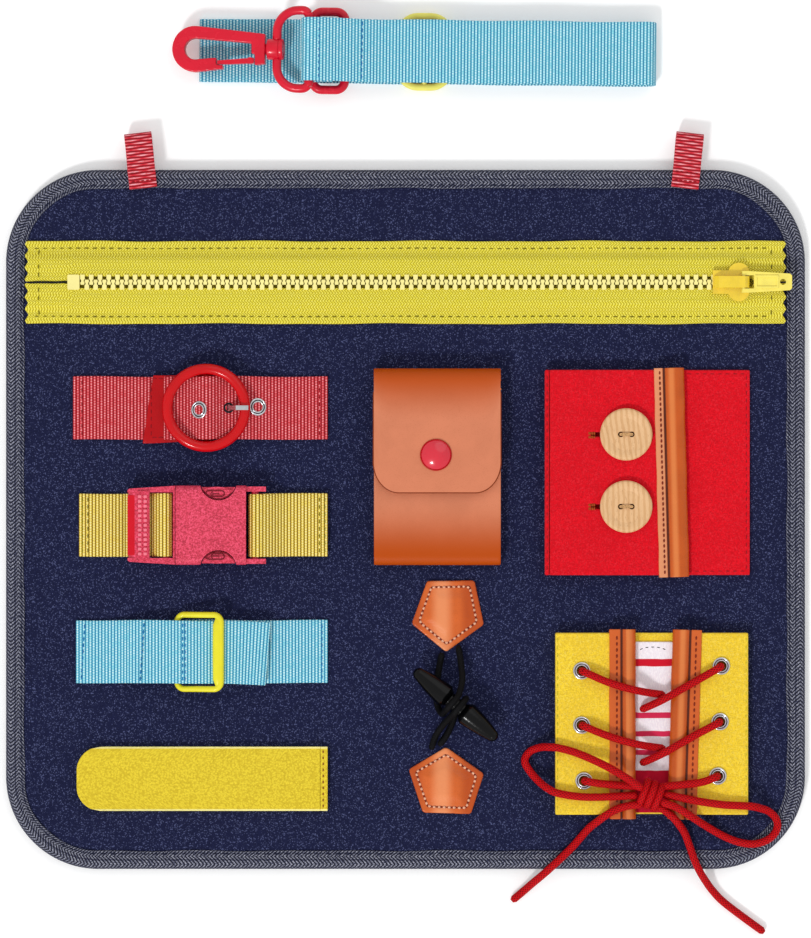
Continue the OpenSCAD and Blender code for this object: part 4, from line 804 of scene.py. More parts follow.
def banded_tongue():
    """White felt crossed by red bands of several widths."""
    f = Finish("tongue_cloth", WHITE, rough=0.9, spec=0.15)
    spot = f.place()
    y = f.node("SeparateXYZ", spot).outputs[1]
    fibre = f.grain(f.place(scale=(1, 0.3, 1), turn=0.5), 0.5, 3, 0.7)
    wobble = f.mul(f.sums("SUBTRACT", f.grain(spot, 5, 1, 0.5), 0.5), 0.0006)
    y = f.add(y, wobble)
    body = f.blend(f.ramp(fibre, 0.4, 0.7), shade(240, 232, 240), shade(255, 250, 252))
    for low, high, tint in (
        (-0.0588, -0.0558, (206, 22, 44)), (-0.0795, -0.0771, (214, 46, 84)), (-0.0868, -0.0846, (214, 46, 84)),
        (-0.0943, -0.0921, (214, 46, 84)), (-0.1185, -0.1004, (196, 16, 48)),
    ):
        inside = f.mul(f.ramp(y, low, low + 0.00025), f.ramp(y, high, high + 0.00025, 1, 0))
        body = f.blend(inside, body, shade(*tint))
    f.paint(body)
    f.relief(fibre, 0.25, 0.7)
    return f


tongue_cloth = banded_tongue()


# ---- Board ----

BOARD_W, BOARD_H, CORNER = 320, 280, 37


def round_corner(x, y, inset):
    """Pulls a point back inside the board's outline less inset."""
    half_w, half_h, r = BOARD_W / 2 - inset, BOARD_H / 2 - inset, CORNER - inset
    cx, cy = half_w - r, half_h - r
    dx, dy = abs(x) - cx, abs(y) - cy
    edge = min(half_w - abs(x), half_h - abs(y))
    if dx > 0 and dy > 0:
        far = hypot(dx, dy)
        if far > r:
            dx, dy = dx * r / far, dy * r / far
            x, y = copysign(cx + dx, x), copysign(cy + dy, y)
        edge = r - min(far, r)
    return x, y, edge


def cut_faces(piece, unwanted):
    """Deletes each face whose every corner is a place, in millimetres, for which unwanted holds."""
    only(piece)
    bpy.ops.object.mode_set(mode="EDIT")
    bpy.ops.mesh.select_mode(type="FACE")
    bpy.ops.mesh.select_all(action="DESELECT")
    bpy.ops.object.mode_set(mode="OBJECT")
    for face in piece.data.polygons:
        face.select = all(unwanted(piece.data.vertices[i].co / MM) for i in face.vertices)
    bpy.ops.object.mode_set(mode="EDIT")
    bpy.ops.mesh.delete(type="FACE")
    bpy.ops.object.mode_set(mode="OBJECT")


def felt_sheet(name, node, level, side):
    """One face of the board: a felt sheet that sinks where the binding squeezes it."""
    inset, squeezed, eased = 4.2, 2.2, 4.5

    def place(u, v):
        x, y, edge = round_corner((u - 0.5) * (BOARD_W - 2 * inset), (v - 0.5) * (BOARD_H - 2 * inset), inset)
        squeeze = max(0.0, 1 - max(0.0, edge - squeezed) / eased)
        uneven = 0.07 * (sin(x / 17 + 1) + sin(y / 14 + x / 31) - 1)
        return x, y, level + side * (uneven - 0.75 * squeeze ** 2)

    piece = bend_grid(150, 132, place, 1, 1)
    cut_faces(piece, lambda spot: round_corner(spot.x, spot.y, inset)[2] < 0.01)
    if side < 0:
        piece.data.flip_normals()
    thicken(piece, 1.7, -1, 0)
    return hand_in(piece, name, navy_felt, "board", "navy_felt", node)


felt_sheet("felt_front", "front_felt", 7.0, 1)
felt_sheet("felt_back", "back_felt", 0.1, -1)


def outline_point(s, inset):
    """The point a share s of the way round the board's outline, and the way outwards from it."""
    half_w, half_h, r = BOARD_W / 2, BOARD_H / 2, CORNER
    runs = []
    for i, length in enumerate((2 * (half_w - r), 2 * (half_h - r)) * 2):
        runs += [("side", i, length), ("corner", i, r * pi / 2)]
    total = sum(run[2] for run in runs)
    s = (s % 1.0) * total
    corners = [(half_w - r, half_h - r), (-half_w + r, half_h - r), (-half_w + r, -half_h + r),
               (half_w - r, -half_h + r)]
    for kind, i, length in runs:
        if s <= length + 1e-9:
            break
        s -= length
    out = pi / 2 * (i + 1)
    if kind == "side":
        cx, cy = corners[i]
        way = (cos(out), sin(out))
        x = cx - sin(out) * s
        y = cy + cos(out) * s
        return (x + way[0] * (r - inset), y + way[1] * (r - inset)), way, total
    cx, cy = corners[(i + 1) % 4]
    turn = out + s / r
    way = (cos(turn), sin(turn))
    return (cx + way[0] * (r - inset), cy + way[1] * (r - inset)), way, total


def bind_edge():
    """One twill tape folded round the whole edge, a little uneven where it was eased round the corners."""
    profile = [(7.4, 6.75)] + [(7.2 - 0.6 * i, 6.82) for i in range(6)]
    profile += [(3.4 - 3.1 * sin(a), 3.6 + 3.2 * cos(a)) for a in [pi * i / 12 for i in range(13)]]
    profile += [(4.2 + 0.6 * i, 0.5) for i in range(6)] + [(7.5, 0.55)]
    count = len(profile) - 1
    _, _, total = outline_point(0, 0)

    def place(u, v):
        inset, z = profile[round(v * count)]
        wave = 0.22 * sin(u * total / 5.3) + 0.18 * sin(u * total / 8.1 + 2)
        top = 1 if z > 3.6 else -1
        share = max(0.0, (inset - 3.4) / 4)
        inset += wave * share * 0.8
        z += top * 0.12 * sin(u * total / 3.7 + 1) * share
        (x, y), _, _ = outline_point(u, inset)
        return x, y, z

    piece = bend_grid(620, count, place, total, 22)
    face_out(piece, 0.02)
    thicken(piece, 0.72, 0, 0.2, 1)
    return hand_in(piece, "edge_tape", twill, "board", "navy_binding", "edge_binding")


bind_edge()


def ring_line(inset, z, count=500):
    return [(*outline_point(i / count, inset)[0], z) for i in range(count + 1)]


hand_in(sew([ring_line(6.2, 7.26)], 2.6, 1.5, 0.26), "binding_stitches", navy_thread, "board", "navy_binding")
hand_in(sew([ring_line(6.2, 0.08)], 2.6, 1.5, 0.2, -0.9), "binding_stitches_back", navy_thread, "board", "navy_binding")
dress(nodes["board_core"], core_board)

RIBBON = [[-7.6, 8.5], [2, 8.5], [12.29, 8.45], [13.2, 8.14], [13.95, 7.55], [14.42, 6.8], [14.6, 5.9], [14.5, 5.0],
          [14.15, 4.15], [13.5, 3.5], [12.7, 3.1], [11.8, 2.95], [3.4, 3.3], [1.8, 5.9], [0.8, 7.8], [-7.6, 7.75]]


def hang_loop(side):
    piece = lay_strap(RIBBON, 0, 11, 0.62, 0, 0.05, 4 + side)
    lean = Matrix.Rotation(radians(90 - side * 6.6), 4, "Z")
    piece.data.transform(Matrix.Translation(((side * 109 + 3.4) * MM, 140 * MM, 0)) @ lean)
    return piece


loops = join([hang_loop(-1), hang_loop(1)])
hand_in(loops, "hanging_ribbons", ribbon, "board", "red_ribbon", "hang_loops")
rows = []
for side in (-1, 1):
    lean = Matrix.Translation((side * 109 + 3.4, 140, 0)) @ Matrix.Rotation(radians(90 - side * 6.6), 4, "Z")
    for x in (-6.4, -4.6, -1.2):
        rows.append([lean @ Vector((x, -4.8, 8.95)), lean @ Vector((x, 4.8, 8.95))])
hand_in(sew(rows, 1.5, 0.5, 0.24), "ribbon_stitches", red_thread, "board", "red_ribbon")

# ---- Zip ----

ZIP_Y, ZIP_HALF, ZIP_END = 94.8, 16.5, 152.2


def zip_height(v):
    """Height of the tape's middle, v millimetres out from the teeth."""
    raised, slope_from, slope_to, drop = 9.75, 8.3, 12.4, 2.3
    if v < slope_from:
        return raised
    if v < slope_to:
        t = (v - slope_from) / 4.1
        return raised - drop * (3 * t * t - 2 * t ** 3)
    return 7.45


def zip_side(name, node, side):
    """One tape: pinked at its ends, raised beside the teeth and pulled back from them."""
    across = 28

    def place(u, v):
        x = (u - 0.5) * 2 * ZIP_END
        out = 0.35 + v * (ZIP_HALF - 0.35)
        in_teeth = min(1.0, max(0.0, (x + 136) / 3), max(0.0, (139.5 - x) / 2))
        out += in_teeth * 2.0 * (1 - v) ** 2
        pink = abs((out / (2 * ZIP_HALF / 14) + 0.5) % 2 - 1)
        pulled = 1 - 1.5 * pink / ZIP_END
        wave = 0.16 * sin(x / 11 + side) + 0.1 * sin(x / 5.2)
        z = zip_height(out) + 0.1 * sin(x / 7 + out / 4) * min(1, out / 6)
        edge = wave * v ** 4
        return x * pulled, ZIP_Y + side * (out + edge), z

    piece = bend_grid(220, across, place, 2 * ZIP_END, ZIP_HALF)
    if side < 0:
        piece.data.flip_normals()
    thicken(piece, 0.75, 0, 0.2, 1)
    return hand_in(piece, name, zip_cloth, "board", "zip_tape", node)


zip_side("zip_cloth_upper", "zip_tape_upper", 1)
zip_side("zip_cloth_lower", "zip_tape_lower", -1)
backing = bend_grid(60, 4, lambda u, v: (-136 + 275 * u, ZIP_Y + (v - 0.5) * 6.4, 7.2), 275, 6.4)
hand_in(thicken(backing, 0.1, 0, 0), "zip_backing", zip_cloth, "board", "zip_tape")
rows = []
for side in (-1, 1):
    rows.append([(x, ZIP_Y + side * (13.6 + 0.1 * sin(x / 11 + side)), 7.95) for x in range(-149, 150, 6)])
    for x in (-146.5, 146.2):
        rows.append([(x, ZIP_Y + side * v, zip_height(v) + 0.48) for v in (1.4, 4, 7, 8.3, 9.5, 10.8, 12.2, 13.6)])
hand_in(sew(rows, 2.0, 1.3, 0.27), "zip_stitches", olive_thread, "board", "zip_tape")
dress(nodes["zip_teeth"], tooth_nylon)
dress(nodes["zip_slider"], slider_gold)
dress(nodes["zip_pull"], pull_yellow)
strand, _, _ = rope([[-151, 94.6, 9.9], [-146, 94.8, 10.3], [-140, 94.7, 10.2], [-135.4, 95, 10.3]], 0.42, 1.0, 8)
hand_in(strand, "zip_end_thread", black_thread, "board", "black_cord")


# ---- Shared fittings ----


def ring_of(path, radius, sides=12, step=0.8):
    """A closed ring of round section along a closed path in millimetres."""
    line, _ = spread(path + [path[0]], step)
    line = line[:-1]
    count = len(line)
    bpy.ops.mesh.primitive_torus_add(major_segments=count, minor_segments=sides, major_radius=1, minor_radius=0.1)
    piece = bpy.context.object
    for i in range(count):
        way = (line[(i + 1) % count] - line[i - 1]).normalized()
        side = Vector((0, 0, 1)).cross(way)
        side = side.normalized() if side.length > 0.01 else Vector((1, 0, 0))
        up = way.cross(side)
        for k in range(sides):
            angle = 2 * pi * k / sides
            spot = line[i] - side * cos(angle) * radius + up * sin(angle) * radius
            piece.data.vertices[i * sides + k].co = spot * MM
    face_out(piece)
    return smooth_all(piece)


def circle(x, y, z, radius, count=40):
    turns = [2 * pi * i / count for i in range(count)]
    return [(x + radius * cos(turn), y + radius * sin(turn), z) for turn in turns]


def grommets(name, spots, radius, hole, body, slot, *stands_for):
    """Pressed eyelets, each given as x, y, z and tilt: a bright rolled rim, a dark ring of painted shade in the groove
    and a lip about the hole.
    """
    rims, groove_shade_rings = [], []
    for x, y, z, tilt in spots:
        place = Matrix.Translation((x * MM, y * MM, z * MM)) @ Matrix.Rotation(radians(tilt), 4, "Y")
        rim = ring_of(circle(0, 0, 0, radius - 0.42), 0.42, 10)
        lip = ring_of(circle(0, 0, 0.05, hole + 0.3), 0.32, 10)
        middle = (radius + hole) / 2
        # Painted shade in the groove between rim and lip.
        groove_shade_ring = ring_of(circle(0, 0, -0.3, middle), (radius - hole) / 2 - 0.2, 10)
        groove_shade_ring.data.transform(Matrix.Diagonal((1, 1, 0.4, 1)))
        for part in (rim, lip, groove_shade_ring):
            part.data.transform(place)
        rims += [rim, lip]
        groove_shade_rings.append(groove_shade_ring)
    hand_in(join(rims), name, steel, body, slot, *stands_for)
    return hand_in(join(groove_shade_rings), name + "_groove_shades", shade_steel, body, slot)


# ---- Ring buckle strap ----

STRAP_W = 25.2
RING_Y, CLIP_Y, SLIDE_Y, TOUCH_Y = 44.6, -2.2, -52.8, -103.6


def strap(name, finish, body, slot, node, route, y, thick=1.2, **more):
    return hand_in(lay_strap(route, y, STRAP_W, thick, **more), name, finish, body, slot, node)


WEB_TOP, PANEL_TOP, GROUND_TOP = 8.32, 12.22, 9.02


def end_rows(x, y, z, half=11.6, columns=(0, 2.2)):
    """Rows of stitches across a strap's sewn end."""
    return [[(x + c, y - half, z), (x + c, y + half, z)] for c in columns]


strap("ring_web_left", red_web, "board", "red_webbing", "ring_strap_left", [[-133, 7.65], [-97, 7.65]], RING_Y, seed=2)
strap("ring_web_right", red_web, "board", "red_webbing", "ring_strap_right",
      [[-31, 7.65], [-54, 7.65], [-64.5, 10.45], [-71.5, 10.45], [-73.1, 10.75], [-78.3, 13.5], [-80.7, 13.5],
       [-85.9, 10.75], [-87.5, 10.45], [-96.4, 10.45]], RING_Y, seed=3, wave=0.06)
TAB = [[-96.3, 7.6], [-83.5, 7.6], [-80.15, 8.46], [-79.37, 8.35], [-78.6, 8.57], [-78, 9.08], [-77.66, 9.79],
       [-77.63, 10.58], [-77.92, 11.31], [-78.49, 11.86], [-79.24, 12.13], [-80.02, 12.08], [-80.72, 11.7],
       [-83.1, 9.7], [-85.5, 8.97], [-102.9, 8.97]]
tab = lay_strap(TAB, 0, 26.4, 1.05, seed=5, wave=0.03)
for vertex in tab.data.vertices:
    share = min(1.0, max(0.0, (-84 - vertex.co.x / MM) / 16))
    vertex.co.x += vertex.co.y * 0.16 * share
    vertex.co.y += RING_Y * MM - (0.9 * MM * share if vertex.co.y < 0 else 0)
hand_in(tab, "ring_tab_leather", tab_leather, "board", "red_leather", "ring_tab")
ring = take_copy("ring_buckle")
modify(ring, "DISPLACE", strength=0.4 * MM, mid_level=0)
apply_all(ring)
smooth(ring)
hand_in(ring, "ring_buckle_round", ring_red, "board", "ring_red", "ring_buckle")
dress(nodes["ring_prong"], steel)
grommets("strap_eyelets", [(-82.4, RING_Y - 0.8, 13.15, -27.5), (-59, RING_Y + 0.4, 9.75, 14.9)], 3.6, 1.9, "board",
         "bare_steel", "ring_eyelets")
# The middle eyelet round the prong, as a small ring in painted shade.
hand_in(ring_of(circle(-70.6, RING_Y, 11.2, 1.75, 24), 0.4, 8), "prong_hole_shade_rim", shade_steel, "board", "bare_steel")
rows = [[(-101.6, RING_Y - 11.6, 9.56), (-101.6, RING_Y + 11.6, 9.56)]]
for side in (-1, 1):
    rows.append([(-101.6, RING_Y + side * 11.8, 9.56), (-96.5, RING_Y + side * 11.8, 9.56)])
rows += end_rows(-131.6, RING_Y, WEB_TOP) + end_rows(-34.4, RING_Y, WEB_TOP)
hand_in(sew(rows, 1.9, 0.9, 0.26), "ring_stitches", red_thread, "board", "red_webbing")

# ---- Side release clip strap ----

strap("clip_web_left", yellow_web, "board", "yellow_webbing", "clip_strap_left", [[-130.6, 7.65], [-92.8, 7.65]],
      CLIP_Y, seed=6)
strap("clip_web_loop", yellow_web, "clip_plug", "yellow_webbing", "clip_strap_loop",
      [[-112.2, 9.1], [-97.6, 9.1], [-95.6, 9.7], [-94.88, 9.83], [-94.25, 10.19], [-93.78, 10.75], [-93.53, 11.44],
       [-93.53, 12.16], [-93.78, 12.85], [-94.25, 13.41], [-94.88, 13.77], [-95.6, 13.9], [-98, 13.7],
       [-101.6, 10.6], [-103, 10.3], [-112.2, 10.3]], CLIP_Y, thick=1.0, seed=7, wave=0.03)
strap("clip_web_right", yellow_web, "board", "yellow_webbing", "clip_strap_right",
      [[-39, 7.65], [-53, 7.65], [-58, 9.1], [-60.38, 9.63], [-61.14, 9.92], [-61.74, 10.45], [-62.11, 11.17],
       [-62.19, 11.97], [-61.98, 12.75], [-61.51, 13.4], [-60.83, 13.84], [-60.04, 14], [-59.25, 13.87],
       [-56, 13], [-50, 9.55], [-48, 9.05], [-31, 9.05]], CLIP_Y, seed=8, wave=0.03)
for name in ("clip_plug", "clip_arm_upper", "clip_arm_lower", "clip_socket"):
    dress(nodes[name], clip_plastic)
rows = end_rows(-129.2, CLIP_Y, WEB_TOP) + end_rows(-34.4, CLIP_Y, 9.74)
hand_in(sew(rows, 1.9, 0.9, 0.26), "clip_stitches", olive_thread, "board", "yellow_webbing")


def top_of(node, x, y):
    """Height of a node's top face over a point, in millimetres."""
    piece = nodes[node]
    back = piece.matrix_world.inverted()
    hit, spot, _, _ = piece.ray_cast(back @ Vector((x * MM, y * MM, 0.1)), back.to_3x3() @ Vector((0, 0, -1)))
    return (piece.matrix_world @ spot).z / MM if hit else 0.0


def raised(name, finish, body, slot, spots):
    """Small raised bars: each given as centre, size and turn about z in degrees."""
    bars = []
    for (x, y, z), (length, width, height), turn in spots:
        bpy.ops.mesh.primitive_cube_add(size=1)
        bar = bpy.context.object
        bar.data.transform(Matrix.Diagonal((length * MM, width * MM, height * MM, 1)))
        shift(bar, x, y, z, turn)
        modify(bar, "BEVEL", width=0.18 * MM, segments=2)
        apply_all(bar)
        bars.append(bar)
    return hand_in(join(bars), name, finish, body, slot)


for name, side in (("clip_arm_upper", 1), ("clip_arm_lower", -1)):
    x, y = -75.9, 10.4 if side > 0 else -14.6
    z = top_of(name, x, y) + 0.04
    loop = []
    for end, start in ((2.6, -0.5), (-2.6, 0.5)):
        turns = [pi * (i / 8 + start) for i in range(9)]
        loop += [(x + end + 1.15 * cos(turn), y + 1.15 * sin(turn), z) for turn in turns]
    # The moulded capsule and arrow marks, both darkened as painted shade.
    hand_in(ring_of(loop, 0.24, 8, 0.5), name + "_mark", clip_mark_shade, name, "clip_coral")
    arrow = [((x + 0.3, y, z), (3, 0.32, 0.4), 0)]
    arrow += [((x - 1.3, y + s * 0.42, z), (1.2, 0.32, 0.4), s * 42) for s in (-1, 1)]
    raised(name + "_arrow", clip_mark_shade, name, "clip_coral", arrow)
spots = []
for i in range(13):
    for x in (-105.9, -103.7):
        y = CLIP_Y - 11.4 + i * 1.9
        spots.append(((x, y, top_of("clip_plug", x, y) + 0.02), (1.4, 1.15, 0.5), 0))
# The plug's knurls, paler as a painted highlight on their tops.
raised("clip_plug_knurls", highlit_clip_knurl, "clip_plug", "clip_coral", [s for s in spots if s[0][2] > 9])
# The plug's sloped outer bar, a raised slab in deeper red: painted shade.
spots = [((-109.1, CLIP_Y, top_of("clip_plug", -109.1, CLIP_Y) + 0.05), (3.4, 24, 0.5), 0)]
raised("clip_plug_edge", shaded_clip_bar, "clip_plug", "clip_coral", spots)

# ---- Slide buckle strap ----

strap("slide_web_right", blue_web, "board", "blue_webbing", "slide_strap_right", [[-31, 7.65], [-104.4, 7.65]],
      SLIDE_Y, seed=9)
tail = lay_strap([[-131.8, 7.65], [-113.4, 7.65], [-106.4, 11.95], [-60.4, 11.95], [-54.9, 11.15]], 0, STRAP_W, 1.2,
                 seed=10, wave=0.05)
for vertex in tail.data.vertices:
    past = max(0.0, vertex.co.x / MM + 72) / 17
    vertex.co.x += vertex.co.y * 0.08 * past
    vertex.co.y += (SLIDE_Y - 0.9 * past) * MM
hand_in(tail, "slide_web_left", blue_web, "board", "blue_webbing", "slide_strap_left")
grip, _, _ = rope([[-74.5, SLIDE_Y - 13.6, 13.9], [-74.6, SLIDE_Y - 9, 14], [-74.7, SLIDE_Y, 14.05],
                   [-74.6, SLIDE_Y + 9, 14], [-74.5, SLIDE_Y + 13.6, 13.9]],
                  2.2, 0.9, 14, squash=0.62, ends=1.2)
hand_in(grip, "slide_buckle_grip", lime_plastic, "slide_buckle", "lime_plastic")
dress(nodes["slide_buckle"], lime_plastic)
rows = [[(-131 + 1.4, SLIDE_Y - 11.4, WEB_TOP), (-129.6 + 1.4, SLIDE_Y + 11.4, WEB_TOP)],
        [(-33.4, SLIDE_Y - 11.4, WEB_TOP), (-33.4, SLIDE_Y + 11.4, WEB_TOP)],
        [(-105.9, SLIDE_Y - 12, 12.6), (-104.3, SLIDE_Y + 12, 12.6)],
        [(-88.9, SLIDE_Y - 12, 12.6), (-88.9, SLIDE_Y + 12, 12.6)],
        [(-87.9, SLIDE_Y - 12, 12.6), (-87.9, SLIDE_Y + 12, 12.6)]]
hand_in(sew(rows, 1.9, 0.7, 0.34), "slide_stitches", sky_thread, "board", "blue_webbing")

# ---- Touch tape ----


def tape_piece(name, node, body, x0, x1, z, finish, seed):
    """A length of touch tape with a round left end and bound long edges."""
    width, round_by = 25.6, 9.5

    def place(u, v):
        y = (v - 0.5) * width
        left = x0
        over = abs(y) - (width / 2 - round_by)
        if over > 0:
            left = x0 + round_by - sqrt(max(0.0, round_by ** 2 - over ** 2))
        x = left + u * (x1 - left)
        rim = 0.12 if abs(y) > width / 2 - 1.6 else 0.0
        lift = 0.08 * sin(x / 9 + seed) + 0.06 * sin(y / 4 + x / 13)
        return x, TOUCH_Y + y, z + lift * (1 - u) - rim

    piece = bend_grid(100, 30, place, x1 - x0, width)
    thicken(piece, 1.0, 0, 0.28)
    return hand_in(piece, name, finish, body, "touch_tape", node)


tape_piece("touch_base_cloth", "touch_tape_base", "board", -129.4, -31.2, 7.62, loop_tape, 1)
tape_piece("touch_flap_cloth", "touch_tape_flap", "touch_flap", -131.4, -34.1, 9.05, loop_tape, 2)
hem = bend_grid(4, 26, lambda u, v: (-34 + 2.9 * u, TOUCH_Y + (v - 0.5) * 25.6, 9.05), 3, 25.6)
hand_in(thicken(hem, 1.0, 0, 0.28), "touch_hem_cloth", loop_tape, "board", "touch_tape")
hand_in(sew(end_rows(-32.9, TOUCH_Y, 9.62, 12, (0,)), 1.3, 1.1, 0.3), "touch_hem_stitches", rust_thread, "board",
        "touch_tape")


# ---- Snap pouch ----

POUCH_W = 50.4
hand_in(soften("pouch_body", 0.5, 0.05, 11, 3, 3), "pouch_leather", tan_leather, "board", "tan_leather", "pouch_body")


def pouch_flap_sheet():
    """The flap as one length of leather that comes over the pouch's top fold, with both lower corners swept round."""
    top, fold_y, fold_z, r = 17.12, 54.95, 12.35, 4.77
    arc = [Vector((0, fold_y + r * cos(a), fold_z + r * sin(a)))
           for a in [radians(-66 + 156 * i / 26) for i in range(27)]]
    line, total = spread(arc + [Vector((0, 30, top)), Vector((0, 10.95, top))], 0.6)
    last = len(line) - 1

    def swept(v):
        """How far across the flap a share v lies, and what its swept corner takes off there."""
        x = POUCH_W * (0.5 - 0.5 * cos(pi * v))
        near = min(x, POUCH_W - x)
        return x, 12 * (1 - sqrt(max(0.0, 1 - ((10 - near) / 10) ** 2))) if near < 10 else 0.0

    def place(u, v):
        x, cut = swept(v)
        run = u * (total - cut) / total * last
        i = min(last - 1, int(run))
        spot = line[i].lerp(line[i + 1], run - i)
        bow = 0.1 * sin(spot.y / 9 + 1) * sin(x / 11)
        return x - 12.6, spot.y, spot.z + (bow if spot.y < 52 else 0)

    piece = bend_grid(110, 64, place, total, POUCH_W)
    thicken(piece, 1.28, 0, 0.3)
    face_out(piece)
    hand_in(piece, "pouch_flap_leather", flap_tan, None, "tan_leather", "pouch_flap")
    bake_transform(piece)
    # A dark cord traced along the flap's cut edge: painted shade along that edge.
    rim = []
    for i in range(101):
        x, cut = swept(i / 100)
        rim.append([x - 12.6, 10.95 + cut, 17.05])
    rim = [[-12.55, 51, 17.05], [-12.55, 38, 17.05]] + rim + [[37.75, 38, 17.05], [37.75, 51, 17.05]]
    edge, _, _ = rope(rim, 0.46, 0.9, 8)
    hand_in(edge, "pouch_flap_edge", flap_edge_shade, "pouch_flap", "tan_leather")


pouch_flap_sheet()
dress(nodes["snap_cap"], snap_enamel)
low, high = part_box("snap_cap")
# A rolled rim round the snap's dome, given the darker red tab leather as painted shade round the dome's edge.
rim = ring_of(circle(500 * (low[0] + high[0]), 500 * (low[1] + high[1]), 18.0, 6.0, 48), 0.34, 8)
hand_in(rim, "snap_rim_shade", tab_leather, "pouch_flap", "snap_red")
for name in ("snap_socket", "snap_stud"):
    dress(nodes[name], steel)

# ---- Toggle ----

UPPER_PATCH = [[8.6, -24.5], [27.6, -24.3], [31.4, -42], [16.2, -53], [2.4, -41.7]]
LOWER_PATCH = [[16.2, -90.9], [31.4, -101.6], [26.2, -117.8], [6.9, -117.2], [1.2, -99.9]]


def inward(points, by, z):
    """A closed line that runs by millimetres inside a patch's outline."""
    middle = Vector((sum(p[0] for p in points) / 5, sum(p[1] for p in points) / 5))
    line = []
    for p in points:
        way = middle - Vector(p)
        spot = Vector(p) + way * (by * 1.25 / way.length)
        line.append(Vector((spot.x, spot.y, z)))
    return line + [line[0]]


def crowned_patch(points, seed):
    """A padded leather patch: its outline cut from a fine grid, crowned in the middle and low at the seam."""
    bpy.ops.mesh.primitive_circle_add(vertices=5, radius=1, fill_type="NGON")
    piece = bpy.context.object
    for vertex, p in zip(piece.data.vertices, points):
        vertex.co = (p[0] * MM, p[1] * MM, 0)
    only(piece)
    bpy.ops.object.mode_set(mode="EDIT")
    bpy.ops.mesh.select_all(action="SELECT")
    bpy.ops.mesh.normals_make_consistent(inside=False)
    bpy.ops.mesh.bevel(offset=0.9 * MM, segments=3, affect="VERTICES")
    bpy.ops.mesh.extrude_region_move(TRANSFORM_OT_translate={"value": (0, 0, 1.2 * MM)})
    bpy.ops.object.mode_set(mode="OBJECT")
    modify(piece, "REMESH", mode="VOXEL", voxel_size=0.42 * MM)
    modify(piece, "SMOOTH", iterations=3)
    apply_all(piece)
    for vertex in piece.data.vertices:
        spot = Vector((vertex.co.x / MM, vertex.co.y / MM))
        lift = 0.0
        if vertex.co.z > 0.0004:
            reach = 99.0
            for a, b in zip(points, points[1:] + points[:1]):
                a, b = Vector(a), Vector(b)
                side = (b - a).normalized()
                reach = min(reach, abs(side.x * (spot.y - a.y) - side.y * (spot.x - a.x)))
            crown = min(1.0, max(0.0, (reach - 3.4) / 4.5))
            seam = exp(-((reach - 2.6) / 0.6) ** 2)
            lift = 0.85 * crown * crown * (3 - 2 * crown) - 0.28 * seam
            lift += 0.06 * sin(spot.x / 3 + seed) * sin(spot.y / 4)
        vertex.co.z += (7.03 + lift) * MM
    return smooth_all(piece)


patches = join([crowned_patch(UPPER_PATCH, 1), crowned_patch(LOWER_PATCH, 2)])
hand_in(patches, "toggle_patch_leather", patch_leather, "board", "orange_leather", "toggle_patches")
# A continuous dark thread beneath the peach stitches: painted shade in the seam's groove.
hand_in(sew([inward(UPPER_PATCH, 2.5, 8.12), inward(LOWER_PATCH, 2.5, 8.12)], 1.6, -0.2, 0.5), "patch_seam_shade",
        rust_thread, "board",
        "orange_leather")
hand_in(sew([inward(UPPER_PATCH, 2.5, 8.36), inward(LOWER_PATCH, 2.5, 8.36)], 1.25, 0.75, 0.56), "patch_stitches",
        pale_thread, "board", "orange_leather")
UPPER_CORD = [[21, -50.4, 8.45], [22, -56, 10.4], [22.6, -64, 14.4], [21.04, -69.97, 17.86], [19.79, -71.47, 19.22],
              [18.26, -73.28, 19.43], [16.87, -74.94, 18.42], [16, -75.98, 16.47], [15.86, -76.14, 14.1],
              [14.6, -77.6, 11.4], [12.8, -74.5, 8.45], [12.4, -69, 8.45], [13, -62, 8.45], [14.6, -53.2, 8.45]]
LOWER_CORD = [[13.2, -90.4, 8.45], [16, -87, 8.45], [18.6, -81.5, 8.6], [20.46, -75.64, 10.46], [21.99, -73.82, 10.46],
              [23.32, -72.24, 11.65], [24.08, -71.32, 13.71], [24.08, -71.32, 16.09], [23.32, -72.24, 18.15],
              [21.99, -73.82, 19.34], [20.46, -75.64, 19.34], [19.13, -77.22, 18.15], [18.37, -78.13, 16.09],
              [15, -82, 11.6], [12, -86.5, 8.8], [10.2, -92, 8.45]]
for name, node, route, sewn, turning in (
    ("toggle_loop_upper", "toggle_cord_upper", UPPER_CORD, -57, -69),
    ("toggle_loop_lower", "toggle_cord_lower", LOWER_CORD, -90, -79),
):
    loop, _, _ = rope(route, 1.28, 1.0, 12)
    hand_in(loop, name, cord_braid, None, "black_cord", node)
    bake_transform(loop)
dress(nodes["toggle_peg"], horn)

# ---- Button panel ----


def panel(name, node, finish, body, slot, seed, amount=0.12):
    return hand_in(soften(node, 0.5, amount, 10, seed, 2), name, finish, body, slot, node)


panel("button_panel_felt", "button_base", red_felt, "board", "red_felt", 6, 0.06)
panel("button_flap_felt", "button_flap", red_felt, "button_flap", "red_felt", 7, 0.1)


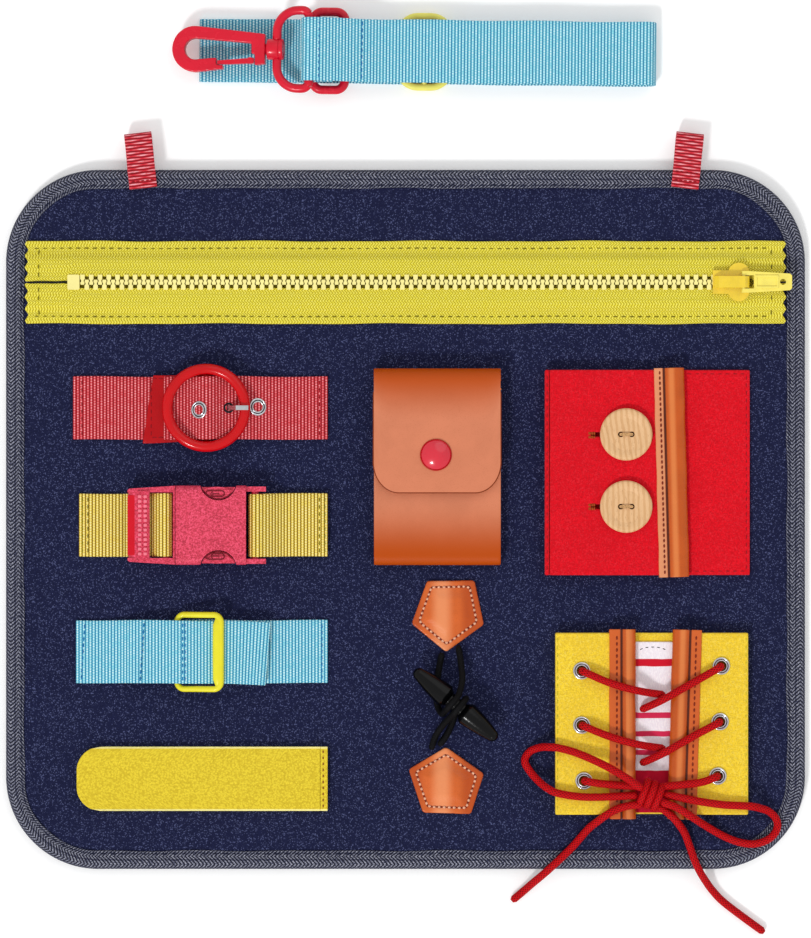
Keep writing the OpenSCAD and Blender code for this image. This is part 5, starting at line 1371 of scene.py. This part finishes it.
def bind_strip(width, flange, length, seed):
    """A leather strip folded round an edge at its right: a flat sewn flange, then a plump roll."""
    w = width
    profile = [(0, 9.8), (0, 12.9), (0.4, 13.1), (flange * 0.5, 12.95), (flange - 0.5, 12.9), (flange, 12.45),
               (flange + 0.5, 12.95), (flange + 1.3, 13.5), (flange + 2.6, 13.85), (w - 3.6, 13.9), (w - 2, 13.4),
               (w - 0.8, 12.5), (w - 0.2, 11.4), (w - 0.5, 10.2), (w - 1.6, 9.6), (flange, 9.6), (0.6, 9.6)]
    line = ease([(x, 0, z) for x, z in profile], 1)
    count = len(line) - 1

    def place(u, v):
        spot = line[round(v * count)]
        y = (u - 0.5) * length
        wave = 0.12 * sin(y / 5 + seed) + 0.08 * sin(y / 2.3 + 2 * seed)
        flare = 0.35 * (abs(2 * u - 1)) ** 14
        plump = max(0.0, (spot.z - 12.9)) * 0.35 * sin(y / 7 + seed) ** 2
        return spot.x + wave * 0.6, y, spot.z + (flare + wave * 0.35 if spot.z > 11.5 else 0) - plump * 0.5

    piece = bend_grid(110, count, place, length, 2 * width)
    for loop in piece.data.loops:
        spot = piece.data.vertices[loop.vertex_index].co
        piece.data.uv_layers.active.data[loop.index].uv = (spot.y, spot.x - flange * MM)
    thicken(piece, 0.7, 1, 0.2, 1)
    face_out(piece)
    return piece


BUTTON_LEAN, LACING_LEAN = 1.5, 1.6
trim = bind_strip(12.4, 4, 83.4, 1)
shift(trim, -6.2)
shift(trim, 106.3, 18.8, turn=BUTTON_LEAN)
hand_in(trim, "flap_binding_leather", flap_leather, "button_flap", "orange_leather", "button_flap_binding")
dress(nodes["wood_buttons"], button_wood)
dress(nodes["button_threads"], cream_thread)
lean = tan(radians(BUTTON_LEAN))
rows = [[(102.4 - y * lean, 18.8 + y, 13.28) for y in (-40.8, -20, 0, 20, 40.8)]]
hand_in(sew(rows, 1.5, 0.6, 0.38), "flap_binding_stitches", rust_thread, "button_flap", "orange_leather")
rows = [[(56.5, -20.6, PANEL_TOP), (56.5, 58.2, PANEL_TOP)]]
for y in (-20.6, 58.2):
    rows.append([(112, y, GROUND_TOP), (136.2, y, GROUND_TOP)])
rows.append([(136.2, -20.6, GROUND_TOP), (136.2, 58.2, GROUND_TOP)])
hand_in(sew(rows, 2.0, 1.0, 0.24), "button_panel_stitches", red_thread, "board", "red_felt")
rows = []
for y in (33.7, 5.1):
    for x in (73.3, 74.0, 74.7, 75.4):
        rows.append([(x, y - 1.5, 12.3), (x, y + 1.5, 12.3)])
hand_in(sew(rows, 1.3, 0.2, 0.4), "buttonhole_stitches", bartack_thread, "button_flap", "red_felt")

# ---- Lacing panel ----

panel("lacing_ground_felt", "lacing_base", yellow_felt, "board", "yellow_felt", 11, 0.04)
panel("lacing_tongue_felt", "lacing_tongue", tongue_cloth, "board", "white_felt", 12, 0.05)
panel("lacing_flap_felt", "lacing_flaps", yellow_felt, "board", "yellow_felt", 13, 0.08)
left_trim = shift(bind_strip(10.9, 4.9, 75.6, 3), 81.3, -81.6)
right_trim = shift(shift(bind_strip(11.9, 4.6, 75.6, 5), -11.9), 105.3, -81.6, turn=180 - LACING_LEAN)
hand_in(join([left_trim, right_trim]), "lacing_binding_leather", lacing_leather, "board", "orange_leather",
        "lacing_bindings")
LEFT_EYELETS = [[70.3, -60.3], [70.3, -82], [71.2, -104.2]]
RIGHT_EYELETS = [[126, -58.4], [125.5, -80.6], [124.6, -102.3]]
grommets("lacing_eyelet_rims", [(x, y, 12.55, 0) for x, y in LEFT_EYELETS + RIGHT_EYELETS], 3.55, 1.95, "board",
         "bare_steel", "lacing_eyelets")
lean = tan(radians(LACING_LEAN))
rows = [[(84.3, y, 13.26) for y in (-118, -95, -70, -46)],
        [(115 + (y + 81.5) * lean, y, 13.26) for y in (-118, -95, -70, -46)]]
hand_in(sew(rows, 1.6, 0.8, 0.36), "lacing_binding_stitches", rust_thread, "board", "orange_leather")
rows = [[(60.7, -116.6, PANEL_TOP), (60.7, -46.4, PANEL_TOP)], [(135.9, -116.6, PANEL_TOP), (135.9, -46.4, PANEL_TOP)]]
hand_in(sew(rows, 2.0, 1.0, 0.24), "lacing_hem_stitches", lemon_thread, "board", "yellow_felt")
rows = [[(93.2, -52.2, 9.04), (95.5, -51.2, 9.04), (98.8, -50.8, 9.04), (102, -51.2, 9.04), (104.4, -52.2, 9.04)]]
hand_in(sew(rows, 1.4, 0.9, 0.22), "tongue_stitches", black_thread, "board", "white_felt")


# ---- Lace ----

LACE = 1.55


def out_of(hole, towards):
    """Where the lace rises from an eyelet and bends over towards its next point."""
    start, way = Vector(hole[:2]), (Vector(towards[:2]) - Vector(hole[:2])).normalized()
    rise = ((0, 11.3), (0.5, 13.7), (1.7, 14.9))
    return [[start.x + way.x * r, start.y + way.y * r, z] for r, z in rise]


def lace_run(route):
    piece, _, _ = rope(route, LACE, 1.2, 12)
    return piece


crossings = []
for i, y in ((0, 0), (1, -21.4)):
    crossings.append((LEFT_EYELETS[i], [[81.6, -65.1 + y, 15.05], [91, -67.8 + y, 15.05], [98, -69.2 + y, 12],
                                        [103.6, -70 + y, 10.8]]))
    crossings.append((RIGHT_EYELETS[i], [[116.7, -63.8 + y, 15.05], [109, -68.1 + y, 15.05], [103.4, -71.3 + y, 15.05],
                                         [98.6, -73.8 + y, 12.6], [93.8, -76 + y, 10.8]]))
crossings.append((LEFT_EYELETS[2], [[80, -105.4, 15.05], [94, -106.4, 15.05]]))
crossings.append((RIGHT_EYELETS[2], [[117, -104.8, 15.05], [102.2, -106.4, 15.05]]))
runs = [lace_run(out_of(hole, route[0]) + route) for hole, route in crossings]
hand_in(join(runs), "lace_crossing_cord", lace_braid, "board", "red_lace", "lace_crossing")
wraps = []
for k in (-1, 0, 1):
    x, y = 97.8 + 2.75 * k, -109.6 - 1.1 * k
    arc = [[x + 1.7 * cos(a), y + 4.5 * cos(a), 12.7 + (6 - 0.5 * abs(k)) * sin(a)]
           for a in [pi * i / 8 for i in range(9)]]
    wraps.append(lace_run(arc))
hand_in(join(wraps), "lace_knot_cord", lace_braid, "board", "red_lace", "lace_knot")

LOOP_LEFT = [[94.4, -107.2, 18.9], [89, -103.4, 19], [82, -99.2, 18], [75.5, -96, 16.2], [68, -92.9, 14.45],
             [61, -91, 14.35], [57.2, -90.7, 13.55], [53.6, -91, 10.8], [49.6, -92.8, 8.9], [47.6, -96.4, 8.9],
             [49.6, -100.4, 9.1], [53, -104.3, 10.6], [57, -107.4, 13.4], [61.4, -109.2, 14.45], [71, -110.5, 14.55],
             [81.6, -110.4, 15.05], [92.8, -109.7, 15.05]]
LOOP_RIGHT = [[102.6, -109.7, 15.8], [108, -110.4, 15.8], [117, -112.2, 15.4], [126.5, -113.6, 14.55],
              [133.5, -114, 14.35], [138, -114.3, 14.15], [141.6, -115.2, 11.6], [145.6, -116.9, 9.1],
              [148.4, -120.2, 8.9], [148.2, -124.4, 8.9], [145, -127.8, 8.9], [139.6, -129.6, 8.9],
              [133.5, -129, 8.9], [127.5, -126.7, 8.9], [121.8, -123.5, 9.8], [117.6, -120.8, 12.6],
              [113.8, -118.2, 15.3], [107.6, -114.4, 16.8], [101.6, -112.3, 18.4]]
TAIL_LEFT = [[94.8, -113.5, 15.05], [89.4, -113.9, 15.05], [84.6, -115.2, 15.05], [80.4, -117.4, 15.05],
             [76.6, -120.4, 12.8], [72.8, -123.8, 9.5], [66.5, -131, 8.9], [58.6, -138.6, 9.2], [54.4, -142.5, 7],
             [50.4, -146.2, 3.2], [46.4, -149.8, 1.8], [42.6, -153, 1.7]]
TAIL_RIGHT = [[100, -113.9, 15.05], [103.8, -116.2, 15.05], [107, -119, 15.05], [109.4, -122, 12.6],
              [111.6, -125.4, 9.6], [113.7, -131, 8.9], [115.6, -136.4, 9.2], [117.6, -140.6, 8],
              [119.8, -144.2, 4.8], [122.6, -148.2, 2.2], [127, -153, 1.7], [135, -159.2, 1.7], [143.8, -165.6, 1.7]]
for name, node, route, end in (("lace_left_loop", "lace_loop_left", LOOP_LEFT, "object"),
                               ("lace_right_loop", "lace_loop_right", LOOP_RIGHT, "object"),
                               ("lace_left_tail", "lace_tail_left", TAIL_LEFT, "bare"),
                               ("lace_right_tail", "lace_tail_right", TAIL_RIGHT, "bare")):
    piece, path, length = rope(route, LACE, 1.2, 12)
    hand_in(piece, name, lace_braid, "board", "red_lace", node)


# ---- Carry strap ----

CARRY = [[-29, 11.1], [-33, 11.6], [-36.2, 10.6], [-37.3, 10.25], [-38.43, 9.91], [-39.6, 10.1], [-40.55, 10.79],
         [-41.11, 11.83], [-41.15, 13.01], [-40.66, 14.08], [-39.75, 14.83], [-38.6, 15.1], [-32.6, 14.3], [-25, 12.5],
         [-19.5, 11.3], [-12, 9.35], [-6, 8.85], [95.85, 8.85], [97.42, 8.54], [98.75, 7.65], [99.64, 6.32],
         [99.95, 4.75], [99.64, 3.18], [98.75, 1.85], [97.42, 0.96], [95.85, 0.65], [-81.5, 0.65], [-81.93, 0.76],
         [-82.24, 1.08], [-82.35, 1.5], [-82.24, 1.93], [-81.93, 2.24], [-81.5, 2.35], [-45, 2.35], [-38, 3.3],
         [-36.33, 3.39], [-35.41, 3.84], [-34.74, 4.62], [-34.42, 5.6], [-34.5, 6.62], [-34.98, 7.53], [-35.77, 8.19],
         [-36.75, 8.49], [-37.77, 8.38], [-38.67, 7.89], [-42.5, 5.05], [-45.4, 3.75], [-52, 3.75]]
CARRY_Y, CARRY_TURN = 187.2, radians(-0.6)
band = lay_strap(CARRY, 0, STRAP_W, 1.15, turn=-0.6, wave=0.05, seed=15)
shift(band, y=CARRY_Y)
hand_in(band, "carry_web", blue_web, "carry_strap", "sky_webbing", "carry_webbing")


def carry_spot(x, y, z):
    """A point given along the carry strap, in the board's frame."""
    c, s = cos(CARRY_TURN), sin(CARRY_TURN)
    return Vector((x * c - y * s, x * s + y * c + CARRY_Y, z))


def in_strap(x, z, drop=0.0, turn=0.0):
    """The place of a fitting on the carry strap, leaning down to its left by drop degrees."""
    lean = Matrix.Rotation(-radians(drop), 4, "Y") @ Matrix.Rotation(radians(turn), 4, "Z")
    strap = Matrix.Translation((0, CARRY_Y * MM, 0)) @ Matrix.Rotation(CARRY_TURN, 4, "Z")
    return strap @ Matrix.Translation((x * MM, 0, z * MM)) @ lean


def arc_about(x, y, r, start, end, count=8):
    turns = [radians(start + (end - start) * i / count) for i in range(count + 1)]
    return [[x + r * cos(turn), y + r * sin(turn), 0] for turn in turns]


def barrel(x0, x1, bore, r):
    """A tube along x with its rims rounded over."""
    bpy.ops.mesh.primitive_cylinder_add(vertices=48, radius=r * MM, depth=abs(x1 - x0) * MM, end_fill_type="NOTHING",
                                        rotation=(0, pi / 2, 0))
    piece = bpy.context.object
    settle(piece)
    shift(piece, (x0 + x1) / 2)
    modify(piece, "SOLIDIFY", thickness=(r - bore) * MM, offset=-1)
    modify(piece, "BEVEL", width=0.45 * MM, segments=3, limit_method="ANGLE")
    apply_all(piece)
    smooth(piece)
    return piece


half = [[-12.8, 3.2, 0], [-12.8, 7.1, 0]] + arc_about(-4.3, 7.1, 8.5, 180, 90)[1:] + arc_about(-2.6, 13, 2.6, 90, 0, 5)
wire, _, _ = rope(half + [[x, -y, z] for x, y, z in reversed(half)], 1.8, 0.7, 16, ends=0)
eye = join([wire, barrel(-16.6, -11.9, 2.28, 4.2), barrel(-11.95, -10.2, 3.4, 4.2)])
eye.data.transform(in_strap(-38.6, 12.5, 6.392))
hand_in(eye, "carry_front_eye", hook_plastic, "carry_eye_front", "hook_red", "carry_eye_front")
hand_in(soften("carry_hook_front", 0.36, 0, 9, 1, 3), "carry_front_hook", hook_plastic, "carry_hook_front", "hook_red",
        "carry_hook_front")
hand_in(soften("carry_hook_back", 0.36, 0, 9, 1, 3), "carry_back_hook", hook_plastic, "carry_strap", "hook_red",
        "carry_hook_back")
for name in ("carry_gate_front", "carry_gate_back"):
    dress(nodes[name], hook_plastic)
corners = []
for i, (x, y) in enumerate(((2.6, 6.5), (-2.6, 6.5), (-2.6, -6.5), (2.6, -6.5))):
    corners += arc_about(x, y, 7.6, 90 * i, 90 * i + 90)
frame_ring = ring_of([Vector(c) for c in corners], 1.5, 12)
frame_ring.data.transform(Matrix.Diagonal((1, 1, 0.72, 1)))
bar, _, _ = rope([[0, -13.6, 0], [0, 0, 0], [0, 13.6, 0]], 1.05, 1, 12, ends=0)
slider = join([frame_ring, bar])
slider.data.transform(in_strap(7.6, 2.5) @ Matrix.Translation((0, 0.3 * MM, 0)))
hand_in(slider, "carry_strap_slider", pale_lime, "carry_strap", "lime_plastic", "carry_slider")
rows = [[carry_spot(-17.5, -11.9, 11.46), carry_spot(-17.3, 11.9, 11.46)],
        [carry_spot(-34.6, -11.8, 15.1), carry_spot(-34.6, 11.8, 15.1)]]
hand_in(sew(rows, 1.9, 0.7, 0.3), "carry_stitches", sky_thread, "carry_strap", "sky_webbing")
